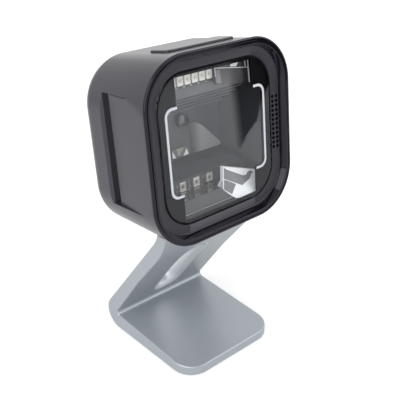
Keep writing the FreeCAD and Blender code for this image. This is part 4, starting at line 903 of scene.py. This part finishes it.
def block(tree, size, place, number):
    return marked(tree, moved(tree, cube(tree, *size), packed(tree, *place)), number)


def disc(tree, radius, depth, y, number):
    return marked(tree, moved(tree, cylinder(tree, discSides, radius, depth), packed(tree, 0, y, 0), lying), number)


def makeLampTree():
    # a lamp seen from -Y: ceramic body with a well, the phosphor in it, the die, and a tin pad at each end
    tree, size, result = newShapeTree(
        "lampTree", ["Width", "Height", "Thickness", "Well Radius", "Well Depth", "Die", "Terminal"],
        ["Body", "Phosphor", "Die Finish", "Tin"])
    front = times(size["Thickness"], -1.0)
    body = block(tree, (size["Width"], size["Thickness"], size["Height"]), (0, times(front, 0.5), 0), 0)
    well = disc(tree, size["Well Radius"], times(size["Well Depth"], 2.0), front, 0)
    seat = plus(front, size["Well Depth"])
    phosphor = disc(tree, size["Well Radius"], phosphorDepth, seat, 1)
    die = block(tree, (size["Die"], dieDepth, size["Die"]), (0, minus(seat, dieDepth / 2), 0), 2)
    shift = times(minus(size["Height"], size["Terminal"]), 0.5)
    wrap = plus(size["Thickness"], wrapGap)
    pads = [block(tree, (size["Width"], wrap, size["Terminal"]), (0, times(wrap, -0.5), times(shift, side)), 3)
            for side in (1.0, -1.0)]
    lamp = joined(tree, cutAway(tree, body, well), phosphor, die, *pads)
    return finished(tree, spread(tree, size["Geometry"], lamp).outputs[0], size,
                    ["Body", "Phosphor", "Die Finish", "Tin"], result)


def makeLamps():
    tree = makeLampTree()
    for name, row in (("upperLampRow", upperLamps), ("lowerLampRow", lowerLamps)):
        seed = seedPoints([(row["first"] + row["pitch"] * i, row["boardFront"], row["z"])
                           for i in range(row["count"])])
        settle(growPiece(name, seed, tree, row, headPlace), "head", row["node"])


def makeChipTree():
    # small parts on a board: an epoxy body with a tin cap at each end
    tree, size, result = newShapeTree("chipTree", ["Width", "Thickness", "Height", "Terminal"], ["Body", "Tin"])
    body = block(tree, (size["Width"], size["Thickness"], size["Height"]), (0, times(size["Thickness"], -0.5), 0), 0)
    shift = times(minus(size["Width"], size["Terminal"]), 0.5)
    wrap, tall = plus(size["Thickness"], wrapGap), plus(size["Height"], wrapGap)
    caps = [block(tree, (size["Terminal"], wrap, tall), (times(shift, side), times(wrap, -0.5), 0), 1)
            for side in (1.0, -1.0)]
    chips = spread(tree, size["Geometry"], joined(tree, body, *caps))
    turn = fill(addNode(tree, "FunctionNodeAxisAngleToRotation"), Axis=(0, 1, 0),
                Angle=times(attribute(tree, "quarterTurns"), math.pi / 2))
    feed(turn.outputs[0], chips.inputs["Rotation"])
    return finished(tree, chips.outputs[0], size, ["Body", "Tin"], result)


def makeBoardParts():
    tree = makeChipTree()
    for name, key, lamps in (("upperBoardParts", "upper", upperLamps), ("lowerBoardParts", "lower", lowerLamps)):
        places = lampBoardParts[key]
        seed = seedPoints([(x, lamps["boardFront"], z) for x, z, _ in places],
                          quarterTurns=[float(turns) for _, _, turns in places])
        settle(growPiece(name, seed, tree, lampBoardParts, headPlace), "head", like="board_chips")


makeLamps()
makeBoardParts()
print("lamps and small parts set on their boards")

upperBoard = {"left": -27.0, "right": 4.4, "low": 28.1, "high": 35.5, "front": 11.6, "back": 12.8}
boardOutline = [(upperBoard[x], upperBoard[z]) for x, z in (
    ("left", "high"), ("right", "high"), ("right", "low"), ("left", "low"))]
boardThickness = upperBoard["back"] - upperBoard["front"]
board = slab(boardOutline, upperBoard["front"], boardThickness, "lampBoard")
settle(makeSlabs("upperLampBoard", [board], ["lampBoard"]), "head", "upper_led_board")

# the chrome lower reflector with its reflections painted: a white ground and grey, dim and soft patches as painted
# reflection
lowerReflector = {
    "outline": [(10.1, -19.0), (30.6, -25.8), (26.2, -35.9), (13.9, -36.0), (11.3, -35.5), (5.2, -29.9),
                (3.4, -27.9), (7.1, -25.4)],
    "foot": 6.7, "slope": 0.45, "base": -36.0, "thickness": 2.2, "raise": 0.2, "ground": "plateWhite",
    "plates": [
        ("plateGrey", [(10.5, -19.7), (11.6, -20.9), (20.8, -26.3), (23.3, -26.9), (25.5, -25.5), (27.8, -25.6),
                       (28.7, -27.0), (27.2, -27.1), (25.1, -29.0), (20.7, -30.1), (18.4, -30.8), (15.2, -28.9),
                       (8.0, -24.7)]),
        ("plateDim", [(7.9, -25.1), (14.5, -29.1), (9.7, -32.9), (5.7, -29.5)]),
        ("plateSoft", [(3.5, -27.9), (6.7, -25.5), (5.0, -29.2)]),
    ],
}
# the chrome upper reflector with its reflections painted: a dark ground and a pale patch as painted reflection, pale
# lines as painted highlights along its edges
upperReflector = {
    "outline": [(3.8, 26.4), (26.8, 23.3), (27.2, 35.3), (3.8, 35.3)],
    "foot": 8.4, "slope": 0.08, "base": 23.4, "thickness": 1.8, "raise": 0.25, "ground": "smokeFilm",
    "plates": [
        ("smokePale", [(4.0, 33.4), (7.0, 33.4), (7.3, 26.6), (4.2, 27.4)]),
        ("edgePale", [(26.35, 23.5), (26.9, 23.5), (27.15, 35.2), (26.6, 35.2)]),
        ("edgePale", [(24.6, 35.2), (25.0, 35.2), (24.85, 32.0), (24.5, 32.0)]),
        ("edgePale", [(25.0, 31.5), (26.5, 31.4), (26.5, 31.1), (25.0, 31.2)]),
        ("edgePale", [(3.9, 34.8), (13.4, 33.3), (25.0, 31.5), (25.0, 31.2), (13.4, 33.0), (3.9, 34.5)]),
        ("edgePale", [(14.4, 34.2), (16.0, 35.1), (20.2, 35.1), (18.4, 33.0), (14.6, 33.5)]),
        ("edgePale", [(3.85, 34.4), (4.15, 34.4), (3.95, 30.4), (3.85, 30.4)]),
    ],
}
plateSink = 0.4
reflectorFinishes = ["edgePale", "smokeFilm", "smokePale", "plateWhite", "plateGrey", "plateDim", "plateSoft"]


def makeReflector(name, node, look):
    def front(z):
        return look["foot"] + look["slope"] * (z - look["base"])

    def raised(z):
        return front(z) - look["raise"]

    slabs = [slab(look["outline"], front, look["thickness"], look["ground"])]
    slabs += [slab(outline, raised, look["raise"] + plateSink, finish) for finish, outline in look["plates"]]
    settle(makeSlabs(name, slabs, reflectorFinishes), "head", node)


makeReflector("lowerReflectorPlate", "lower_reflector", lowerReflector)
makeReflector("upperReflectorPlate", "upper_reflector", upperReflector)

aimer = {
    "x": (-9.8, 2.0), "z": (-13.2, -8.2), "depth": (31.4, 33.0), "relief": 0.5, "sink": 0.2,
    "whites": [[(-9.75, -8.5), (-9.75, -12.75), (-7.5, -12.75)], [(0.0, -9.4), (-2.3, -13.0), (1.2, -12.8)]],
    "beige": [(-7.0, -8.3), (-1.5, -8.3), (-5.1, -12.3), (-6.3, -11.8)],
}


def makeAimer():
    (x0, x1), (z0, z1), (near, far) = aimer["x"], aimer["z"], aimer["depth"]
    slabs = [slab([(x0, z1), (x1, z1), (x1, z0), (x0, z0)], near, far - near, "aimerGlass")]
    for outline, finish in [*((white, "aimerWhite") for white in aimer["whites"]), (aimer["beige"], "aimerBeige")]:
        slabs.append(slab(outline, near - aimer["relief"], aimer["relief"] + aimer["sink"], finish))
    settle(makeSlabs("aimerBlock", slabs, ["aimerGlass", "aimerWhite", "aimerBeige"]), "head", "aiming_prism")


makeAimer()
print("reflectors and aimer made")

funnel = {
    "halfFront": 33.0, "halfBack": 26.5, "front": 7.4, "back": 33.0, "floorFront": -34.5, "flange": 8.8,
    "boardDepth": 20.0, "boardLow": -27.7, "boardHigh": -22.0, "backLow": -14.4, "backHigh": 11.2,
    "boardPocket": 12.8, "ceilingHigh": 24.8, "steps": 5, "tread": 0.6, "lift": 0.15,
    "sinkShare": 0.2, "wallGap": 0.4, "stepLine": (0.2, 0.35),
    # painted light: the patch of light on the back wall
    "glow": [(13.9, -0.3), (26.3, -12.7), (26.3, -14.2), (4.8, -14.2), (4.8, 2.0), (9.0, 2.4)],
    # painted shade: the band on the floor by the back wall, and the lower part of the right wall
    "band": [(-26.4, 32.9), (26.3, 32.9), (27.6, 27.4), (-11.7, 29.4), (-27.2, 30.2)],
    "wall": [(31.6, -13.9), (9.0, -22.7), (9.0, -33.9), (19.8, -27.4), (19.8, -22.4), (31.6, -15.0)],
    "shelfHeight": -27.2, "shelf": [(-30.4, 19.7), (-31.9, 8.4), (2.4, 8.4), (2.6, 12.9), (7.6, 17.0), (17.5, 19.7)],
    "panelDepth": 8.4, "panel": [(-31.9, -27.3), (2.4, -27.3), (9.6, -34.3), (-31.9, -34.3)],
    # painted highlight: a pale strip along the panel's top edge
    "edge": {"left": -24.0, "right": 11.4, "depth": (7.5, 7.75), "top": -34.35, "lift": 0.12},
}


def floorHeight(depth):
    if depth >= funnel["boardDepth"]:
        share = (depth - funnel["boardDepth"]) / (funnel["back"] - funnel["boardDepth"])
        return funnel["boardHigh"] + share * (funnel["backLow"] - funnel["boardHigh"])
    share = max(0.0, (depth - funnel["flange"]) / (funnel["boardDepth"] - funnel["flange"]))
    return funnel["floorFront"] + share * (funnel["boardLow"] - funnel["floorFront"])


def wallReach(depth):
    share = (depth - funnel["front"]) / (funnel["back"] - funnel["front"])
    return funnel["halfFront"] + share * (funnel["halfBack"] - funnel["halfFront"])


def makeLining():
    # thin facets on the funnel's walls, each a closed plate that stands a little off the wall; most are painted light
    # and shade: a pool of painted light on the back wall, painted shade on the floor band, step risers and lower right
    # wall, and a painted highlight along the panel's top edge
    slabs = []

    def plate(corners, lift, finish):
        front = [Vector(corner) + Vector(lift) for corner in corners]
        slabs.append((front, [Vector(corner) - Vector(lift) * funnel["sinkShare"] for corner in corners], finish))

    lift = funnel["lift"]
    plate([(x, funnel["back"], z) for x, z in funnel["glow"]], (0, -lift, 0), "liningGlow")
    plate([(x, depth, floorHeight(depth)) for x, depth in funnel["band"]], (0, 0, lift), "liningDark")
    plate([(x, depth, funnel["shelfHeight"]) for x, depth in funnel["shelf"]], (0, 0, lift), "liningMirror")
    plate([(x, funnel["panelDepth"], z) for x, z in funnel["panel"]], (0, -lift, 0), "liningPanel")
    stepDepth = (funnel["back"] - funnel["boardPocket"]) / funnel["steps"]
    stepHeight = (funnel["ceilingHigh"] - funnel["backHigh"]) / funnel["steps"]
    stepForward, stepRise = funnel["stepLine"]
    for i in range(1, funnel["steps"]):
        depth = funnel["back"] - (i + funnel["tread"]) * stepDepth
        low = funnel["backHigh"] + i * stepHeight
        reach = wallReach(depth) - funnel["wallGap"]
        near, high = depth - stepForward, low + stepRise
        plate([(-reach, depth, low), (reach, depth, low), (reach, near, high), (-reach, near, high)],
              (0, -lift, 0), "liningShadow")
    plate([(wallReach(depth), depth, z) for depth, z in funnel["wall"]], (-lift, 0, 0), "liningDark")
    edge = funnel["edge"]
    (near, far), top = edge["depth"], edge["top"]
    plate([(edge["left"], near, top), (edge["right"], near, top), (edge["right"], far, top),
           (edge["left"], far, top)], (0, 0, edge["lift"]), "liningEdge")
    finishNames = ["liningGlow", "liningDark", "liningMirror", "liningPanel", "liningEdge", "liningShadow"]
    settle(makeSlabs("funnelLining", slabs, finishNames), "head", like="optical_chassis")


makeLining()
print("funnel lined")

studio = {
    "worldDirect": 1.0, "worldDiffuse": 0.6, "floorHalf": 8.0, "floorColour": (0.86, 0.86, 0.87),
    "floorGlow": (0.32, 1.0), "glowReach": (0.4, 1.6), "floorMirrorGlow": 0.2, "lampAim": (0, 0, 0.09),
    "lamps": [
        {"name": "keyPanel", "place": (-1.0, -0.3, 0.7), "size": 1.3, "power": 13},
        {"name": "sidePanel", "place": (0.8, -0.7, 0.6), "size": 0.9, "power": 5},
        {"name": "backPanel", "place": (0.85, 0.95, 0.55), "size": 1.0, "power": 0.9},
    ],
    # a dark card that only mirrors see: s runs along the card, z is height
    "cardCentre": (0.28284, -0.30719), "cardAlong": (0.70711, 0.70711), "cardFade": (-0.0115, 0.0017),
    "card": [(-0.0224, 0.0148), (-0.0042, 0.0274), (0.0045, 0.0416), (0.0175, 0.0564), (0.0225, 0.0734),
             (0.0318, 0.0910), (0.0474, 0.1131), (0.0522, 0.1733), (-0.0111, 0.1708)],
}


def lightKinds(tree, *labels):
    # one when the ray is any of the kinds named
    path = addNode(tree, "ShaderNodeLightPath").outputs
    value = path[labels[0]]
    for label in labels[1:]:
        value = calculate("MAXIMUM", value, path[label])
    return value


def stageSheet(name, points, material):
    mesh = bpy.data.meshes.new(name)
    mesh.from_pydata(points, [], [tuple(range(len(points)))])
    mesh.materials.append(material)
    return addObject(name, mesh)


def makeWorld():
    scene.world = bpy.data.worlds.new("studioWorld")
    tree, surface = startTree(scene.world, "ShaderNodeOutputWorld")
    direct = lightKinds(tree, "Is Camera Ray", "Is Glossy Ray", "Is Transmission Ray")
    strength = fill(addNode(tree, "ShaderNodeMapRange"), Value=direct, To_Min=studio["worldDiffuse"],
                    To_Max=studio["worldDirect"]).outputs[0]
    feed(made(tree, "ShaderNodeBackground", Color=(1, 1, 1, 1), Strength=strength), surface)


def makeFloor():
    half, low = studio["floorHalf"], cadBox[0][2]
    material, tree, surface = startMaterial("floorPaper")
    floor = stageSheet("floorSheet", [(-half, -half, low), (half, -half, low), (half, half, low),
                                      (-half, half, low)], material)
    # the sheet's own glow rises away from the middle, so that it runs out into the white around it
    reach = fill(addNode(tree, "ShaderNodeVectorMath", operation="LENGTH"), objectPlace(tree)).outputs["Value"]
    (nearReach, farReach), (nearGlow, farGlow) = studio["glowReach"], studio["floorGlow"]
    rise = smoothRamp(tree, reach, From_Min=nearReach, From_Max=farReach, To_Min=nearGlow, To_Max=farGlow)
    inMirror = times(lightKinds(tree, "Is Glossy Ray"), studio["floorMirrorGlow"])
    strength = timesPlus(lightKinds(tree, "Is Camera Ray", "Is Transmission Ray"), rise, inMirror)
    paper = made(tree, "ShaderNodeBsdfDiffuse", Color=(*studio["floorColour"], 1))
    glow = made(tree, "ShaderNodeEmission", Color=(1, 1, 1, 1), Strength=strength)
    feed(made(tree, "ShaderNodeAddShader", paper, glow), surface)


def makeCard():
    centre, along = Vector(studio["cardCentre"]), Vector(studio["cardAlong"])
    material, tree, surface = startMaterial("cardCloth")
    card = stageSheet("darkCard", [(*(centre + along * s), z) for s, z in studio["card"]], material)
    fade = card.data.attributes.new("cardAlong", "FLOAT", "POINT")
    fade.data.foreach_set("value", [s for s, _ in studio["card"]])
    cloth = made(tree, "ShaderNodeEmission", Color=(0.004, 0.004, 0.007, 1))
    clear = made(tree, "ShaderNodeBsdfTransparent")
    place = addNode(tree, "ShaderNodeAttribute", attribute_name="cardAlong").outputs["Fac"]
    fadeStart, fadeEnd = studio["cardFade"]
    share = times(smoothRamp(tree, place, From_Min=fadeStart, From_Max=fadeEnd), lightKinds(tree, "Is Glossy Ray"))
    feed(made(tree, "ShaderNodeMixShader", share, clear, cloth), surface)


def addLamps():
    for lamp in studio["lamps"]:
        data = bpy.data.lights.new(lamp["name"], "AREA")
        data.energy = lamp["power"]
        data.size = lamp["size"]
        aim(addObject(lamp["name"], data), lamp["place"], studio["lampAim"])


def layOut(tree):
    # sets the nodes out in columns, each to the right of what feeds it
    feeds, columns, filled = {}, {}, {}
    for link in tree.links:
        feeds.setdefault(link.to_node.name, set()).add(link.from_node.name)

    def column(name):
        if name not in columns:
            columns[name] = 1 + max((column(feeder) for feeder in feeds.get(name, ())), default=-1)
        return columns[name]

    for node in tree.nodes:
        across = column(node.name)
        node.location = (220 * across, -260 * filled.get(across, 0))
        filled[across] = filled.get(across, 0) + 1


makeWorld()
makeFloor()
makeCard()
addLamps()
scene.view_settings.view_transform = "Standard"
for tree in trees:
    layOut(tree)
print("stage set")
